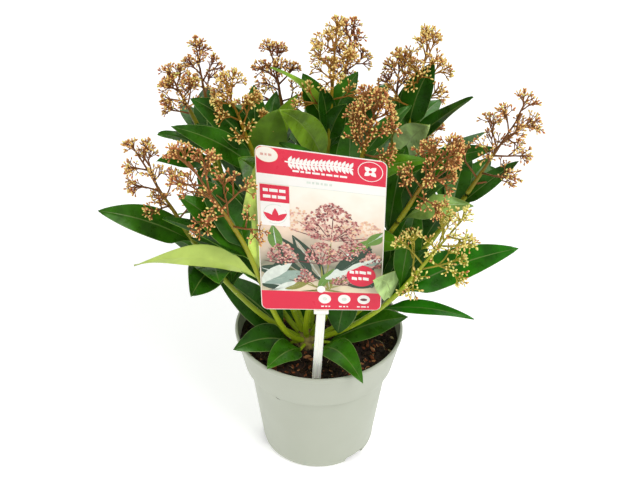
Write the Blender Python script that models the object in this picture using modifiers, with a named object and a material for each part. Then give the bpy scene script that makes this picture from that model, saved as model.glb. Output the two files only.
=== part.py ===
# Potted skimmia: an evergreen shrub with bud-covered flower heads, in a 13 cm nursery pot.
# Metres, +Z up. The origin is the centre of the pot's flat underside, and -Y is the front.
import math
import random

import bmesh
import bpy
from mathutils import Matrix, Vector
from mathutils.bvhtree import BVHTree

MM = 0.001
GAP = 0.3 * MM
WELD = 0.005 * MM

# Pot, a turned thin wall with a skirt under its rim
POT_HEIGHT = 112 * MM
RIM_RADIUS = 65 * MM
RIM_WIDTH = 2.4 * MM
LIP_HEIGHT = 3 * MM
SKIRT_HEIGHT = 32 * MM
SKIRT_RADIUS = 58.4 * MM
SHOULDER_HEIGHT = 3 * MM
BODY_RADIUS = 54 * MM
BASE_RADIUS = 44.4 * MM
BASE_ROUND = 1.5 * MM
RIM_ROUND = 0.8 * MM
LIP_STEP = 0.7 * MM
LIP_SLOPE = 0.3 * MM
WALL = 1.3 * MM
FLOOR = 1.8 * MM
POT_STEPS = 30

SKIRT_FOOT = POT_HEIGHT - SKIRT_HEIGHT
SHOULDER = SKIRT_FOOT - SHOULDER_HEIGHT

# Drain slots at the foot of the wall
SLOT_COUNT = 3
SLOT_TURN = -48
SLOT_WIDTH = 18 * MM
SLOT_HEIGHT = 5.5 * MM
SLOT_INNER_RADIUS = 37 * MM
SLOT_OVERRUN = 4 * MM

# Soil
SOIL_DROP = 12 * MM
SOIL_TOP = POT_HEIGHT - SOIL_DROP

# Crown, the short woody stock that all stems leave
CROWN_X = -8 * MM
CROWN_Y = -8 * MM
CROWN_RADIUS = 9.5 * MM
CROWN_FLARE = 11.5 * MM
CROWN_LIFT = 2.5 * MM
CROWN_FOOT = SOIL_TOP + GAP
CROWN_CENTRE = Vector((CROWN_X, CROWN_Y, CROWN_FOOT + CROWN_LIFT))
CROWN_STEPS = 14
DOME_STEPS = 5

# Stems
STEM_FOOT_RADIUS = 2.2 * MM
STEM_TOP_RADIUS = 1.9 * MM
BOUGH_SHARE = 0.42
ROOT_SINK = 1.5 * MM
PATH_STEPS = 5
MEASURE_STEPS = 20
LEAVING_PULL = 0.25
ARRIVING_PULL = 0.33
FORK_PULL = 0.35
FORK_LEAD = 0.1
FORK_TAPER = 0.1

# Flower heads
AXIS_FOOT_SHARE = 0.97
AXIS_TIP_RADIUS = 0.8 * MM
AXIS_SIDES = 4
TWIG_RADIUS = 0.7 * MM
CLUB_RADIUS = 3.4 * MM
CLUB_SPREAD = (0.9, 1.15)
REACH_SPREAD = (0.88, 1.08)
PRONG_RADIUS_SHARE = 0.7
TWIG_SIDES = 3
GOLDEN_TURN = 137.5
FORK_SHARE = 0.62
OPEN_LOW = 62
OPEN_TOP = 36
TWIG_BEND = 12
PRONG_SPREAD = 32
PRONG_SHARE = 0.4
PRONG_LENGTH = 0.56
LOW_SPRAY = 0.08
HIGH_SPRAY = 0.84
TOP_SPRAY = 0.9
REACH_LOSS = 0.42

# Leaves
LEAF_THICKNESS = 1.3 * MM
LEAF_FOLD = 0.22
LEAF_CLEARANCE = 0.5 * MM
LEAF_RINGS = (0.0, 0.24, 0.54, 0.82, 1.0)
PLAIN_LEAF_RINGS = (0.0, 0.34, 0.72, 1.0)
LEAF_ROOT_SHARE = 0.3
LEAF_BELLY = 0.85
LEAF_FULLNESS = 0.8
LEAF_SHIFTS = (0, 10, -10, 20, -20)
LEAF_LIFTS = (0, 8, -8)
WHORL_JITTER = 8
WHORL_SLENDERNESS = 3.4
WHORL_LENGTHS = (0.88, 1.08)
WHORL_ARCHES = (0.05, 0.14)
WHORL_ROLL = 15

# Plant label on its stick
CARD_WIDTH = 84.5 * MM
CARD_HEIGHT = 134 * MM
CARD_THICKNESS = 0.6 * MM
CARD_CORNER = 5 * MM
CARD_CORNER_STEPS = 4
CARD_TWIST = 20 * MM
CARD_LEAN = 2 * MM
CARD_X = 1.5 * MM
CARD_Y = -50 * MM
CARD_BOTTOM = 166 * MM
STICK_WIDTH = 6.4 * MM
STICK_THICKNESS = 1.6 * MM
STICK_DEPTH = 9 * MM
STICK_LEAN = 3 * MM
BAR_WIDTH = 10.6 * MM
BAR_HEIGHT = 3 * MM
BAR_DEPTH = 3.2 * MM
TONGUE_HEIGHT = 24 * MM
TONGUE_THICKNESS = 1.0 * MM
PIN_RADIUS = 1.6 * MM
PIN_HEAD_RADIUS = 2.9 * MM
PIN_HEAD_THICKNESS = 0.9 * MM
PIN_HEIGHT = 20 * MM
PIN_SIDES = 10
PIN_HEAD_SIDES = 12
PIN_HEAD_TAPER = 0.8
PIN_HEAD_PLAY = 0.15 * MM
PIN_HOLE_RADIUS = 1.1 * (PIN_RADIUS + GAP)
STICK_SLOPE = STICK_LEAN / (CARD_BOTTOM - SOIL_TOP)


def head(base, tip, reach, sprays, start=0):
    """A flower head from its lowest spray to its tip; places in mm, start turn in degrees."""
    return {"base": Vector(base) * MM, "tip": Vector(tip) * MM, "reach": reach * MM,
            "sprays": sprays, "start": start}


def leaf(along, heading, rise, length, width, arch=0.08, roll=0):
    """A leaf at a share of its stem; heading and rise of its tip in degrees, sizes in mm."""
    return {"along": along, "heading": heading, "rise": rise, "length": length * MM,
            "width": width * MM, "arch": arch, "roll": roll, "rings": LEAF_RINGS}


def whorl(along, count, rise, length, first, last):
    """Leaves at even headings from first to last round a stem; degrees and mm."""
    return {"along": along, "count": count, "rise": rise, "length": length * MM,
            "first": first, "last": last}


# Each shoot is one bough from the crown and the mass of leaves and flower heads at its end.
# foot is the heading and rise, in degrees, where it leaves the crown.
SHOOTS = {
    "far_left": {
        "foot": (192, 32), "seed": 1,
        "heads": [head((-97, -22, 218), (-125, -22, 278), 30, 9, 310)],
        "leaves": [leaf(0.88, 195, 30, 74, 22, 0.06, 48), leaf(0.70, 256, 11, 48, 26, 0.08, 30),
                   leaf(0.72, 284, 16, 38, 28, 0.12, 0)],
        "whorls": [whorl(0.82, 2, 25, 62, 50, 85), whorl(0.55, 3, 20, 60, 60, 130)]},
    "front_left": {
        "foot": (230, 32), "seed": 2,
        "heads": [head((-56, -57, 237), (-82, -76, 302), 38, 10, 280)],
        "leaves": [leaf(0.66, 197, 19, 91, 20, 0.14, -75), leaf(0.70, 84, 87, 87, 20, 0.02, -10),
                   leaf(0.79, 192, 36, 72, 20, 0.05, 5), leaf(0.84, 171, 60, 66, 22, 0.06, 55),
                   leaf(0.78, 177, 47, 72, 24, 0.06, 30), leaf(0.88, 134, 63, 52, 17, 0.05, 40)],
        "whorls": [whorl(0.6, 2, 25, 60, 100, 160)]},
    "left_back": {
        "foot": (150, 32), "seed": 3,
        "heads": [head((-92, 34, 274), (-104, 34, 303), 27, 8, 120),
                  head((-86, 72, 264), (-92, 80, 301), 26, 7, 270)],
        "leaves": [leaf(0.85, 209, 32, 45, 15, 0.05, 15), leaf(0.80, 217, 20, 50, 16, 0.06, 40)],
        "whorls": [whorl(0.86, 3, 2, 60, 50, 110), whorl(0.62, 3, 14, 60, 60, 120)]},
    "mid_left": {
        "foot": (166, 62), "seed": 4,
        "heads": [head((-49, 2, 268), (-63, -4, 316), 29, 9, 330),
                  head((-28, 46, 273), (-34, 50, 312), 28, 8, 140)],
        "leaves": [leaf(0.96, 198, 50, 65, 23, 0.08, 62), leaf(0.86, 215, 41, 88, 18, 0.06, 70),
                   leaf(0.92, 94, 70, 54, 20, 0.05, 0), leaf(0.84, 70, 59, 62, 20, 0.05, -15),
                   leaf(0.72, 244, 56, 67, 22, 0.08, 115),
                   leaf(0.80, 311, 75, 70, 29, 0.06, 40), leaf(0.84, 13, 65, 67, 16, 0.06, -60)],
        "whorls": [whorl(0.85, 3, 26, 58, 60, 150), whorl(0.6, 4, 25, 70, 90, 240)]},
    "top": {
        "foot": (85, 62), "seed": 5,
        "heads": [head((6, 14, 284), (9, 12, 346), 31, 10, 20),
                  head((15, 60, 282), (21, 70, 326), 25, 7, 40)],
        "leaves": [leaf(0.78, 233, 53, 85, 21, 0.08, 100),
                   leaf(0.93, 186, 53, 67, 9, 0.14, 25),
                   leaf(0.93, 148, 62, 47, 20, 0.05, 45), leaf(0.97, 27, 60, 43, 17, 0.05, -45),
                   leaf(0.90, 313, 65, 40, 16, 0.05, -110), leaf(0.92, 243, 73, 46, 16, 0.05, 110),
                   leaf(0.86, 30, 38, 65, 20, 0.05, -40)],
        "whorls": [whorl(0.7, 5, 35, 72, 20, 160)]},
    "right_top": {
        "foot": (22, 60), "seed": 6,
        "heads": [head((64, 24, 284), (72, 26, 336), 31, 9, 150),
                  head((55, 68, 264), (57, 76, 296), 25, 7, 180)],
        "leaves": [leaf(0.93, 326, 74, 60, 21, 0.05, -100), leaf(0.90, 97, 73, 38, 20, 0.05, 10),
                   leaf(0.85, 333, 48, 73, 15, 0.02, -35), leaf(0.80, 295, 52, 63, 22, 0.06, -110),
                   leaf(0.70, 3, 22, 82, 18, 0.06, -45)],
        "whorls": [whorl(0.9, 2, 14, 54, 60, 105), whorl(0.62, 4, 25, 70, 20, 120)]},
    "mid_right": {
        "foot": (254, 60), "seed": 7,
        "heads": [head((27, -32, 280), (35, -36, 321), 30, 10, 280)],
        "leaves": [leaf(1.0, 36, 34, 49, 13, 0.06, -20), leaf(0.80, 337, 39, 73, 16, 0.14, -55),
                   leaf(0.75, 351, 54, 67, 20, 0.06, -60), leaf(0.62, 335, 12, 56, 20, 0.08, -50)],
        "whorls": [whorl(0.8, 4, 35, 62, 60, 180)]},
    "right": {
        "foot": (318, 64), "seed": 8,
        "heads": [head((60, -46, 254), (78, -54, 298), 32, 10, 100)],
        "leaves": [leaf(0.90, 10, 6, 52, 15, 0.10, -40), leaf(0.92, 24, 58, 45, 14, 0.05, -40),
                   leaf(0.45, 242, -64, 37, 24, 0.05, 0)],
        "whorls": [whorl(0.8, 4, 35, 66, 20, 140)]},
    "far_right": {
        "foot": (0, 30), "seed": 9,
        "heads": [head((105, -6, 240), (134, -8, 302), 36, 11, 350)],
        "leaves": [leaf(0.90, 8, 41, 55, 12, 0.03, -45)],
        "whorls": [whorl(0.85, 4, 25, 66, 50, 150), whorl(0.6, 2, 20, 62, 60, 100)]},
    "low_right": {
        "foot": (324, 35), "seed": 10,
        "heads": [head((61, -57, 196), (88, -72, 253), 37, 10, 70)],
        "leaves": [leaf(0.86, 0, 27, 91, 24, 0.06, -45), leaf(0.90, 66, 66, 69, 19, 0.05, -45),
                   leaf(0.78, 3, 61, 52, 18, 0.05, -45), leaf(0.68, 346, 4, 68, 11, 0.08, -20),
                   leaf(0.80, 236, 52, 41, 20, 0.16, 100)],
        "whorls": [whorl(0.75, 3, 35, 60, 20, 90)]},
    "back_left": {
        "foot": (115, 34), "seed": 11,
        "heads": [head((-58, 94, 198), (-68, 110, 238), 26, 5, 0)],
        "leaves": [],
        "whorls": [whorl(0.95, 6, 22, 72, 30, 260), whorl(0.72, 5, 10, 72, 20, 240)]},
    "back": {
        "foot": (80, 34), "seed": 12,
        "heads": [head((6, 100, 198), (8, 118, 240), 26, 5, 70)],
        "leaves": [],
        "whorls": [whorl(0.95, 6, 22, 72, -20, 200), whorl(0.72, 5, 10, 72, 0, 180)]},
    "back_right": {
        "foot": (45, 34), "seed": 13,
        "heads": [head((76, 84, 192), (86, 100, 232), 26, 5, 140)],
        "leaves": [],
        "whorls": [whorl(0.95, 5, 22, 72, -20, 150), whorl(0.72, 4, 10, 72, 20, 140)]},
}

# Short twigs low on the crown that carry leaves alone
LOW_TWIG_RADIUS = 1.3 * MM
LOW_TWIG_SIDES = 6
LOW_TWIGS = {
    "low_left": {
        "foot": (212, 14), "length": 8 * MM,
        "leaves": [leaf(1, 217, 20, 55, 22, 0.12, 40)]},
    "low_corner": {
        "foot": (250, 12), "length": 8 * MM,
        "leaves": [leaf(1, 234, 13, 42, 20, 0.12, 20)]},
    "low_front": {
        "foot": (296, 10), "length": 9 * MM,
        "leaves": [leaf(1, 305, 9, 58, 22, 0.22, -10)]},
    "low_side": {
        "foot": (340, 8), "length": 9 * MM,
        "leaves": [leaf(1, 6, 19, 64, 26, 0.08, -20)]},
    "low_inner": {
        "foot": (98, 8), "length": 8 * MM,
        "leaves": [leaf(1, 123, 27, 37, 20, 0.06, 20), leaf(1, 95, 16, 33, 18, 0.06, 0)]},
    "low_behind": {
        "foot": (171, 8), "length": 8 * MM,
        "leaves": [leaf(1, 166, 40, 73, 27, 0.05, 55)]},
}

parts = bpy.data.collections.new("potted_skimmia")
cutters = bpy.data.collections.new("cutters")


def clear_scene():
    for old in list(bpy.data.objects):
        bpy.data.objects.remove(old, do_unlink=True)
    bpy.context.scene.collection.children.link(parts)
    bpy.context.scene.collection.children.link(cutters)


def make_material(name, colour, roughness):
    material = bpy.data.materials.new(name)
    material.use_nodes = True
    shader = material.node_tree.nodes["Principled BSDF"]
    shader.inputs["Base Color"].default_value = (*colour, 1)
    shader.inputs["Roughness"].default_value = roughness
    return material


def new_object(name, mesh, collection):
    made = bpy.data.objects.new(name, mesh)
    collection.objects.link(made)
    return made


def evaluated_mesh(source):
    """The mesh that an object's modifiers or curve give; a curve's loose caps are welded."""
    depsgraph = bpy.context.evaluated_depsgraph_get()
    mesh = bpy.data.meshes.new_from_object(source.evaluated_get(depsgraph))
    if source.type == "CURVE":
        shape = bmesh.new()
        shape.from_mesh(mesh)
        bmesh.ops.remove_doubles(shape, verts=shape.verts, dist=WELD)
        shape.to_mesh(mesh)
        shape.free()
    return mesh


def baked(source, name, collection):
    """Replaces an object by the plain mesh it evaluates to."""
    mesh = evaluated_mesh(source)
    place = source.matrix_world.copy()
    data = source.data
    bpy.data.objects.remove(source, do_unlink=True)
    if isinstance(data, bpy.types.Curve):
        bpy.data.curves.remove(data)
    else:
        bpy.data.meshes.remove(data)
    mesh.name = name
    made = new_object(name, mesh, collection)
    made.matrix_world = place
    return made


def turned(name, profile, steps):
    """Turns a profile of (radius, height) points about Z; its ends lie on the axis."""
    mesh = bpy.data.meshes.new(name)
    points = [(radius, 0, height) for radius, height in profile]
    edges = [(k, k + 1) for k in range(len(points) - 1)]
    mesh.from_pydata(points, edges, [])
    made = new_object(name, mesh, parts)
    screw = made.modifiers.new("turn", "SCREW")
    screw.steps = steps
    screw.render_steps = steps
    screw.use_merge_vertices = True
    screw.merge_threshold = 2 * WELD
    return made


def tube(name, points, radii, sides_level, collection):
    """A round limb along points, with a radius at each point and closed ends."""
    curve = bpy.data.curves.new(name, "CURVE")
    curve.dimensions = "3D"
    curve.bevel_depth = MM
    curve.bevel_resolution = sides_level
    curve.use_fill_caps = True
    spline = curve.splines.new("POLY")
    spline.points.add(len(points) - 1)
    for point, place, radius in zip(spline.points, points, radii):
        point.co = (*place, 1)
        point.radius = radius / MM
    return baked(new_object(name, curve, collection), name, collection)


def cone_between(start, end, start_radius, end_radius, sides, collection):
    """A tapering straight twig from start to end."""
    axis = end - start
    shape = bmesh.new()
    turn = axis.to_track_quat("Z", "Y").to_matrix().to_4x4()
    place = Matrix.Translation((start + end) / 2) @ turn
    bmesh.ops.create_cone(shape, cap_ends=True, segments=sides, radius1=start_radius,
                          radius2=end_radius, depth=axis.length, matrix=place)
    mesh = bpy.data.meshes.new("twig")
    shape.to_mesh(mesh)
    shape.free()
    return new_object("twig", mesh, collection)


def direction(heading, rise):
    heading, rise = math.radians(heading), math.radians(rise)
    return Vector((math.cos(heading) * math.cos(rise), math.sin(heading) * math.cos(rise),
                   math.sin(rise)))


def bezier(a, b, c, d, t):
    u = 1 - t
    return a * u ** 3 + b * (3 * u * u * t) + c * (3 * u * t * t) + d * t ** 3


def shoot_path(shoot, t):
    """The point at share t of a shoot's stem, from the crown to its flower head's base."""
    out = direction(*shoot["foot"])
    start = CROWN_CENTRE + out * (CROWN_RADIUS + GAP)
    leader = shoot["heads"][0]
    end = leader["base"]
    span = (end - start).length
    arrival = (leader["tip"] - end).normalized()
    return bezier(start, start + out * span * LEAVING_PULL,
                  end - arrival * span * ARRIVING_PULL, end, t)


def stem_radius(t):
    return STEM_FOOT_RADIUS + (STEM_TOP_RADIUS - STEM_FOOT_RADIUS) * t


def leaf_points(blade, root, grow=0.0):
    """Rings of a leaf from root to tip: right edge, upper midrib, left edge, lower midrib.

    The outline is an ellipse drawn out to a point, folded up a little along its midrib,
    arched along its length and turned by roll about it.
    """
    ahead = direction(blade["heading"], blade["rise"])
    side = ahead.cross(Vector((0, 0, 1))).normalized()
    up = side.cross(ahead)
    length = blade["length"]
    turn = math.radians(blade["roll"])
    across = side * math.cos(turn) + up * math.sin(turn)
    face = up * math.cos(turn) - side * math.sin(turn)
    rings = []
    for share in blade["rings"]:
        bow = 4 * share * (1 - share)
        middle = root + ahead * (length * share) + up * (blade["arch"] * length * bow)
        swell = math.sin(math.pi * share ** LEAF_BELLY) ** LEAF_FULLNESS
        half = blade["width"] / 2 * swell + grow
        thick = LEAF_THICKNESS / 2 * (1 if 0 < share < 1 else 0) + grow
        lift = half * LEAF_FOLD
        rings.append((middle + across * half + face * lift, middle + face * thick,
                      middle - across * half + face * lift, middle - face * thick))
    return rings


def leaf_solid(blade, root, collection):
    """A thin closed blade reshaped from a sphere of four meridians."""
    shape = bmesh.new()
    rings = leaf_points(blade, root)
    last = len(rings) - 1
    bmesh.ops.create_uvsphere(shape, u_segments=4, v_segments=last, radius=1)
    for vert in shape.verts:
        ring = round(math.acos(max(-1, min(1, vert.co.z))) / math.pi * last)
        meridian = round(math.atan2(vert.co.y, vert.co.x) / (math.pi / 2)) % 4
        if 0 < ring < last:
            vert.co = rings[ring][meridian]
        else:
            vert.co = (rings[ring][1] + rings[ring][3]) / 2
    bmesh.ops.recalc_face_normals(shape, faces=shape.faces)
    mesh = bpy.data.meshes.new("leaf")
    shape.to_mesh(mesh)
    shape.free()
    return new_object("leaf", mesh, collection)


class Clearances:
    """Keeps the limbs, heads and leaves placed so far, and says what a new piece would touch."""

    def __init__(self):
        self.placed = []

    def add(self, owner, whole, own=None):
        """Other masses keep clear of whole, and the piece's own mass of own, if any."""
        self.placed.append((owner, whole, own))

    def blocked(self, owner, whole, own=None):
        for other, other_whole, other_own in self.placed:
            if other != owner:
                if whole.overlap(other_whole):
                    return True
            elif own and other_own and own.overlap(other_own):
                return True
        return False


def leaf_trees(blade, root):
    """Collision trees of a leaf with clearance round it: all of it, and its outer part."""
    rings = leaf_points(blade, root, LEAF_CLEARANCE)
    verts = [point for ring in rings for point in ring]
    whole, outer = [], []
    for ring in range(len(rings) - 1):
        for side in range(4):
            after = (side + 1) % 4
            low, high = ring * 4, ring * 4 + 4
            quad = (low + side, low + after, high + after, high + side)
            whole.append(quad)
            if blade["rings"][ring] >= LEAF_ROOT_SHARE:
                outer.append(quad)
    return BVHTree.FromPolygons(verts, whole), BVHTree.FromPolygons(verts, outer)


def keep_outer_body(mesh):
    """Drops the walls of sealed hollows and loose scraps, and keeps the largest body."""
    shape = bmesh.new()
    shape.from_mesh(mesh)
    left = set(shape.verts)
    bodies = []
    while left:
        reached = {left.pop()}
        edge = list(reached)
        while edge:
            vert = edge.pop()
            near = {link.other_vert(vert) for link in vert.link_edges} & left
            left -= near
            reached |= near
            edge += near
        bodies.append(reached)
    bodies.sort(key=len)
    scraps = [vert for body in bodies[:-1] for vert in body]
    bmesh.ops.delete(shape, geom=scraps, context="VERTS")
    shape.to_mesh(mesh)
    shape.free()


def fuse(name, pieces):
    """Joins a mass's pieces into one closed body."""
    body, others = pieces[0], pieces[1:]
    group = bpy.data.collections.new(name + "_twigs")
    bpy.context.scene.collection.children.link(group)
    for piece in others:
        for holder in list(piece.users_collection):
            holder.objects.unlink(piece)
        group.objects.link(piece)
    union = body.modifiers.new("union", "BOOLEAN")
    union.operation = "UNION"
    union.operand_type = "COLLECTION"
    union.collection = group
    union.solver = "EXACT"
    joined = baked(body, name, parts)
    keep_outer_body(joined.data)
    for piece in list(group.objects):
        mesh = piece.data
        bpy.data.objects.remove(piece, do_unlink=True)
        bpy.data.meshes.remove(mesh)
    bpy.data.collections.remove(group)
    return joined


def cut(body, cutter):
    """Cuts one closed shape out of a body."""
    cutter.hide_render = True
    cutter.display_type = "WIRE"
    notch = body.modifiers.new("cut", "BOOLEAN")
    notch.operation = "DIFFERENCE"
    notch.object = cutter


def box(name, size, place, collection, turn=0, slope=0.0):
    """A block from its full sizes, its centre and its turn about Z; slope leans it along X."""
    shape = bmesh.new()
    bmesh.ops.create_cube(shape, size=1)
    bmesh.ops.scale(shape, vec=size, verts=shape.verts)
    for vert in shape.verts:
        vert.co.x += slope * vert.co.z
    mesh = bpy.data.meshes.new(name)
    shape.to_mesh(mesh)
    shape.free()
    made = new_object(name, mesh, collection)
    made.location = place
    made.rotation_euler.z = math.radians(turn)
    return made


def wall_inner_radius(height):
    """Inner radius of the pot's skirt at a height."""
    top, bottom = POT_HEIGHT - LIP_HEIGHT, SKIRT_FOOT + WALL
    share = (height - bottom) / (top - bottom)
    low = SKIRT_RADIUS - WALL
    return low + (RIM_RADIUS - WALL - low) * share


def make_pot():
    lip = POT_HEIGHT - LIP_HEIGHT
    inside = [(0, FLOOR), (BASE_RADIUS - WALL - BASE_ROUND, FLOOR),
              (BASE_RADIUS - WALL, FLOOR + BASE_ROUND), (BODY_RADIUS - WALL, SHOULDER + WALL / 2),
              (SKIRT_RADIUS - WALL, SKIRT_FOOT + WALL), (wall_inner_radius(lip), lip),
              (RIM_RADIUS - RIM_WIDTH, POT_HEIGHT)]
    outside = [(RIM_RADIUS - RIM_ROUND / 2, POT_HEIGHT), (RIM_RADIUS, POT_HEIGHT - RIM_ROUND),
               (RIM_RADIUS, lip), (RIM_RADIUS - LIP_STEP, lip - LIP_SLOPE),
               (SKIRT_RADIUS, SKIRT_FOOT + RIM_ROUND), (SKIRT_RADIUS - RIM_ROUND, SKIRT_FOOT),
               (BODY_RADIUS, SHOULDER), (BASE_RADIUS, BASE_ROUND),
               (BASE_RADIUS - BASE_ROUND, 0), (0, 0)]
    pot = turned("pot", inside + outside, POT_STEPS)
    middle = (SLOT_INNER_RADIUS + BASE_RADIUS + SLOT_OVERRUN) / 2
    for k in range(SLOT_COUNT):
        turn = SLOT_TURN + 360 / SLOT_COUNT * k
        place = direction(turn, 0) * middle
        size = (2 * (middle - SLOT_INNER_RADIUS), SLOT_WIDTH, 2 * SLOT_HEIGHT)
        cut(pot, box("drain_slot", size, place, cutters, turn))
    return pot


def stick_middle(height):
    """The middle of the leaning stick at a height."""
    return CARD_X + STICK_SLOPE * (height - CARD_BOTTOM)


def make_soil():
    profile = [(0, SOIL_TOP), (wall_inner_radius(SOIL_TOP) - GAP, SOIL_TOP),
               (SKIRT_RADIUS - WALL - GAP, SKIRT_FOOT + WALL + GAP),
               (BODY_RADIUS - WALL - GAP, SHOULDER + WALL / 2 + GAP),
               (BASE_RADIUS - WALL - 2 * GAP, FLOOR + BASE_ROUND + GAP),
               (BASE_RADIUS - WALL - BASE_ROUND - GAP, FLOOR + GAP), (0, FLOOR + GAP)]
    soil = turned("soil", profile, POT_STEPS)
    depth = STICK_DEPTH + GAP
    slot = (STICK_WIDTH + 2 * GAP, STICK_THICKNESS + 2 * GAP, 2 * depth)
    place = (stick_middle(SOIL_TOP), CARD_Y, SOIL_TOP)
    cut(soil, box("stick_slot", slot, place, cutters, slope=STICK_SLOPE))
    return soil


def make_crown():
    arc = [math.radians(90 - 90 * k / DOME_STEPS) for k in range(DOME_STEPS + 1)]
    height = CROWN_CENTRE.z
    profile = [(CROWN_RADIUS * math.cos(a), height + CROWN_RADIUS * math.sin(a)) for a in arc]
    profile[0] = (0, height + CROWN_RADIUS)
    profile += [(CROWN_FLARE, CROWN_FOOT), (0, CROWN_FOOT)]
    crown = turned("crown", profile, CROWN_STEPS)
    crown.location = (CROWN_X, CROWN_Y, 0)
    return crown


def card_twist(x, z):
    """How far forward the twisted card stands at a place on it."""
    across = (x - CARD_X) / CARD_WIDTH + 0.5
    return -CARD_TWIST * across * (z - CARD_BOTTOM) / CARD_HEIGHT


def card_lean(z):
    """How far to the left the card leans at a height."""
    return CARD_LEAN * (z - CARD_BOTTOM) / CARD_HEIGHT


def make_card():
    """A rounded sheet that stands upright, with a hole for the stick's pin."""
    curve = bpy.data.curves.new("label_card", "CURVE")
    curve.dimensions = "2D"
    curve.fill_mode = "BOTH"
    curve.extrude = CARD_THICKNESS / 2
    outline = curve.splines.new("POLY")
    outline.points.add(4 * (CARD_CORNER_STEPS + 1) - 1)
    half_width, half_height = CARD_WIDTH / 2 - CARD_CORNER, CARD_HEIGHT / 2 - CARD_CORNER
    centres = ((half_width, half_height), (-half_width, half_height),
               (-half_width, -half_height), (half_width, -half_height))
    for k, point in enumerate(outline.points):
        corner, step = divmod(k, CARD_CORNER_STEPS + 1)
        angle = math.radians(90 * corner + 90 * step / CARD_CORNER_STEPS)
        x, y = centres[corner]
        point.co = (x + CARD_CORNER * math.cos(angle), y + CARD_CORNER * math.sin(angle), 0, 1)
    outline.use_cyclic_u = True
    hole = curve.splines.new("POLY")
    hole.points.add(PIN_SIDES - 1)
    for k, point in enumerate(hole.points):
        angle = 2 * math.pi * k / PIN_SIDES
        point.co = (PIN_HOLE_RADIUS * math.cos(angle),
                    PIN_HOLE_RADIUS * math.sin(angle) + PIN_HEIGHT - CARD_HEIGHT / 2, 0, 1)
    hole.use_cyclic_u = True
    sheet = new_object("label_card", curve, parts)
    sheet.matrix_world = (Matrix.Translation((CARD_X, CARD_Y, CARD_BOTTOM + CARD_HEIGHT / 2))
                          @ Matrix.Rotation(math.radians(90), 4, "X"))
    card = baked(sheet, "label_card", parts)
    card.data.transform(card.matrix_world)
    card.matrix_world = Matrix.Identity(4)
    for vert in card.data.vertices:
        vert.co.y += card_twist(vert.co.x, vert.co.z)
        vert.co.x -= card_lean(vert.co.z)
    return card


def make_stick():
    """The stick's blade in the soil, its cross bar, and the tongue and pin that hold the card."""
    foot = SOIL_TOP - STICK_DEPTH
    bar_top = CARD_BOTTOM - GAP
    blade_top = bar_top - BAR_HEIGHT / 2
    middle = (blade_top + foot) / 2
    blade = box("label_stick", (STICK_WIDTH, STICK_THICKNESS, blade_top - foot),
                (stick_middle(middle), CARD_Y, middle), parts, slope=STICK_SLOPE)
    bar = box("bar", (BAR_WIDTH, BAR_DEPTH, BAR_HEIGHT),
              (CARD_X, CARD_Y, bar_top - BAR_HEIGHT / 2), parts)
    lean = card_twist(CARD_X, CARD_BOTTOM + PIN_HEIGHT)
    back = CARD_Y + CARD_THICKNESS / 2 + GAP
    front = CARD_Y + lean - CARD_THICKNESS / 2 - GAP - PIN_HEAD_PLAY
    tongue_foot = bar_top - BAR_HEIGHT / 2
    tongue_top = CARD_BOTTOM + TONGUE_HEIGHT
    tongue = box("tongue", (STICK_WIDTH, TONGUE_THICKNESS, tongue_top - tongue_foot),
                 (CARD_X, back + TONGUE_THICKNESS / 2, (tongue_top + tongue_foot) / 2), parts)
    pin_x = CARD_X - card_lean(CARD_BOTTOM + PIN_HEIGHT)
    pin_place = Vector((pin_x, back + TONGUE_THICKNESS / 2, CARD_BOTTOM + PIN_HEIGHT))
    ahead = Vector((0, -1, 0))
    shank_end = Vector((pin_x, front - PIN_HEAD_THICKNESS / 2, pin_place.z))
    shank = cone_between(pin_place, shank_end, PIN_RADIUS, PIN_RADIUS, PIN_SIDES, parts)
    head_start = Vector((pin_x, front, pin_place.z))
    cap = cone_between(head_start, head_start + ahead * PIN_HEAD_THICKNESS, PIN_HEAD_RADIUS,
                       PIN_HEAD_RADIUS * PIN_HEAD_TAPER, PIN_HEAD_SIDES, parts)
    return fuse("label_stick", [blade, bar, tongue, shank, cap])


def share_of(shoot, distance):
    """The share of a shoot's stem that a distance along it makes."""
    points = [shoot_path(shoot, k / MEASURE_STEPS) for k in range(MEASURE_STEPS + 1)]
    length = sum((b - a).length for a, b in zip(points, points[1:]))
    return distance / length


def stem_tube(name, shoot, first, last, collection):
    shares = [first + (last - first) * k / PATH_STEPS for k in range(PATH_STEPS + 1)]
    points = [shoot_path(shoot, t) for t in shares]
    return tube(name, points, [stem_radius(t) for t in shares], 1, collection)


def fork_tube(shoot, other):
    """The side stem that leaves a shoot for its second flower head."""
    start = shoot_path(shoot, FORK_SHARE)
    out = (shoot_path(shoot, FORK_SHARE + FORK_LEAD) - start).normalized()
    arrival = (other["tip"] - other["base"]).normalized()
    span = (other["base"] - start).length
    points = [bezier(start, start + out * span * FORK_PULL,
                     other["base"] - arrival * span * FORK_PULL, other["base"], k / PATH_STEPS)
              for k in range(PATH_STEPS + 1)]
    radii = [STEM_TOP_RADIUS * (1 - FORK_TAPER * k / PATH_STEPS) for k in range(PATH_STEPS + 1)]
    return tube("fork", points, radii, 1, parts)


def spray_pieces(start, outward, length, draw):
    """One twig of a flower head and its side prong; both widen into a cluster of buds."""
    across = outward.orthogonal().normalized()
    across.rotate(Matrix.Rotation(draw.uniform(0, 2 * math.pi), 3, outward))
    width = CLUB_RADIUS * draw.uniform(*CLUB_SPREAD)
    main = Matrix.Rotation(math.radians(-TWIG_BEND), 3, across) @ outward
    fork = start + main * (length * PRONG_SHARE)
    side = Matrix.Rotation(math.radians(PRONG_SPREAD), 3, across) @ outward
    return [cone_between(start, start + main * length, TWIG_RADIUS, width, TWIG_SIDES, parts),
            cone_between(fork, fork + side * (length * PRONG_LENGTH),
                         TWIG_RADIUS * PRONG_RADIUS_SHARE, width, TWIG_SIDES, parts)]


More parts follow.
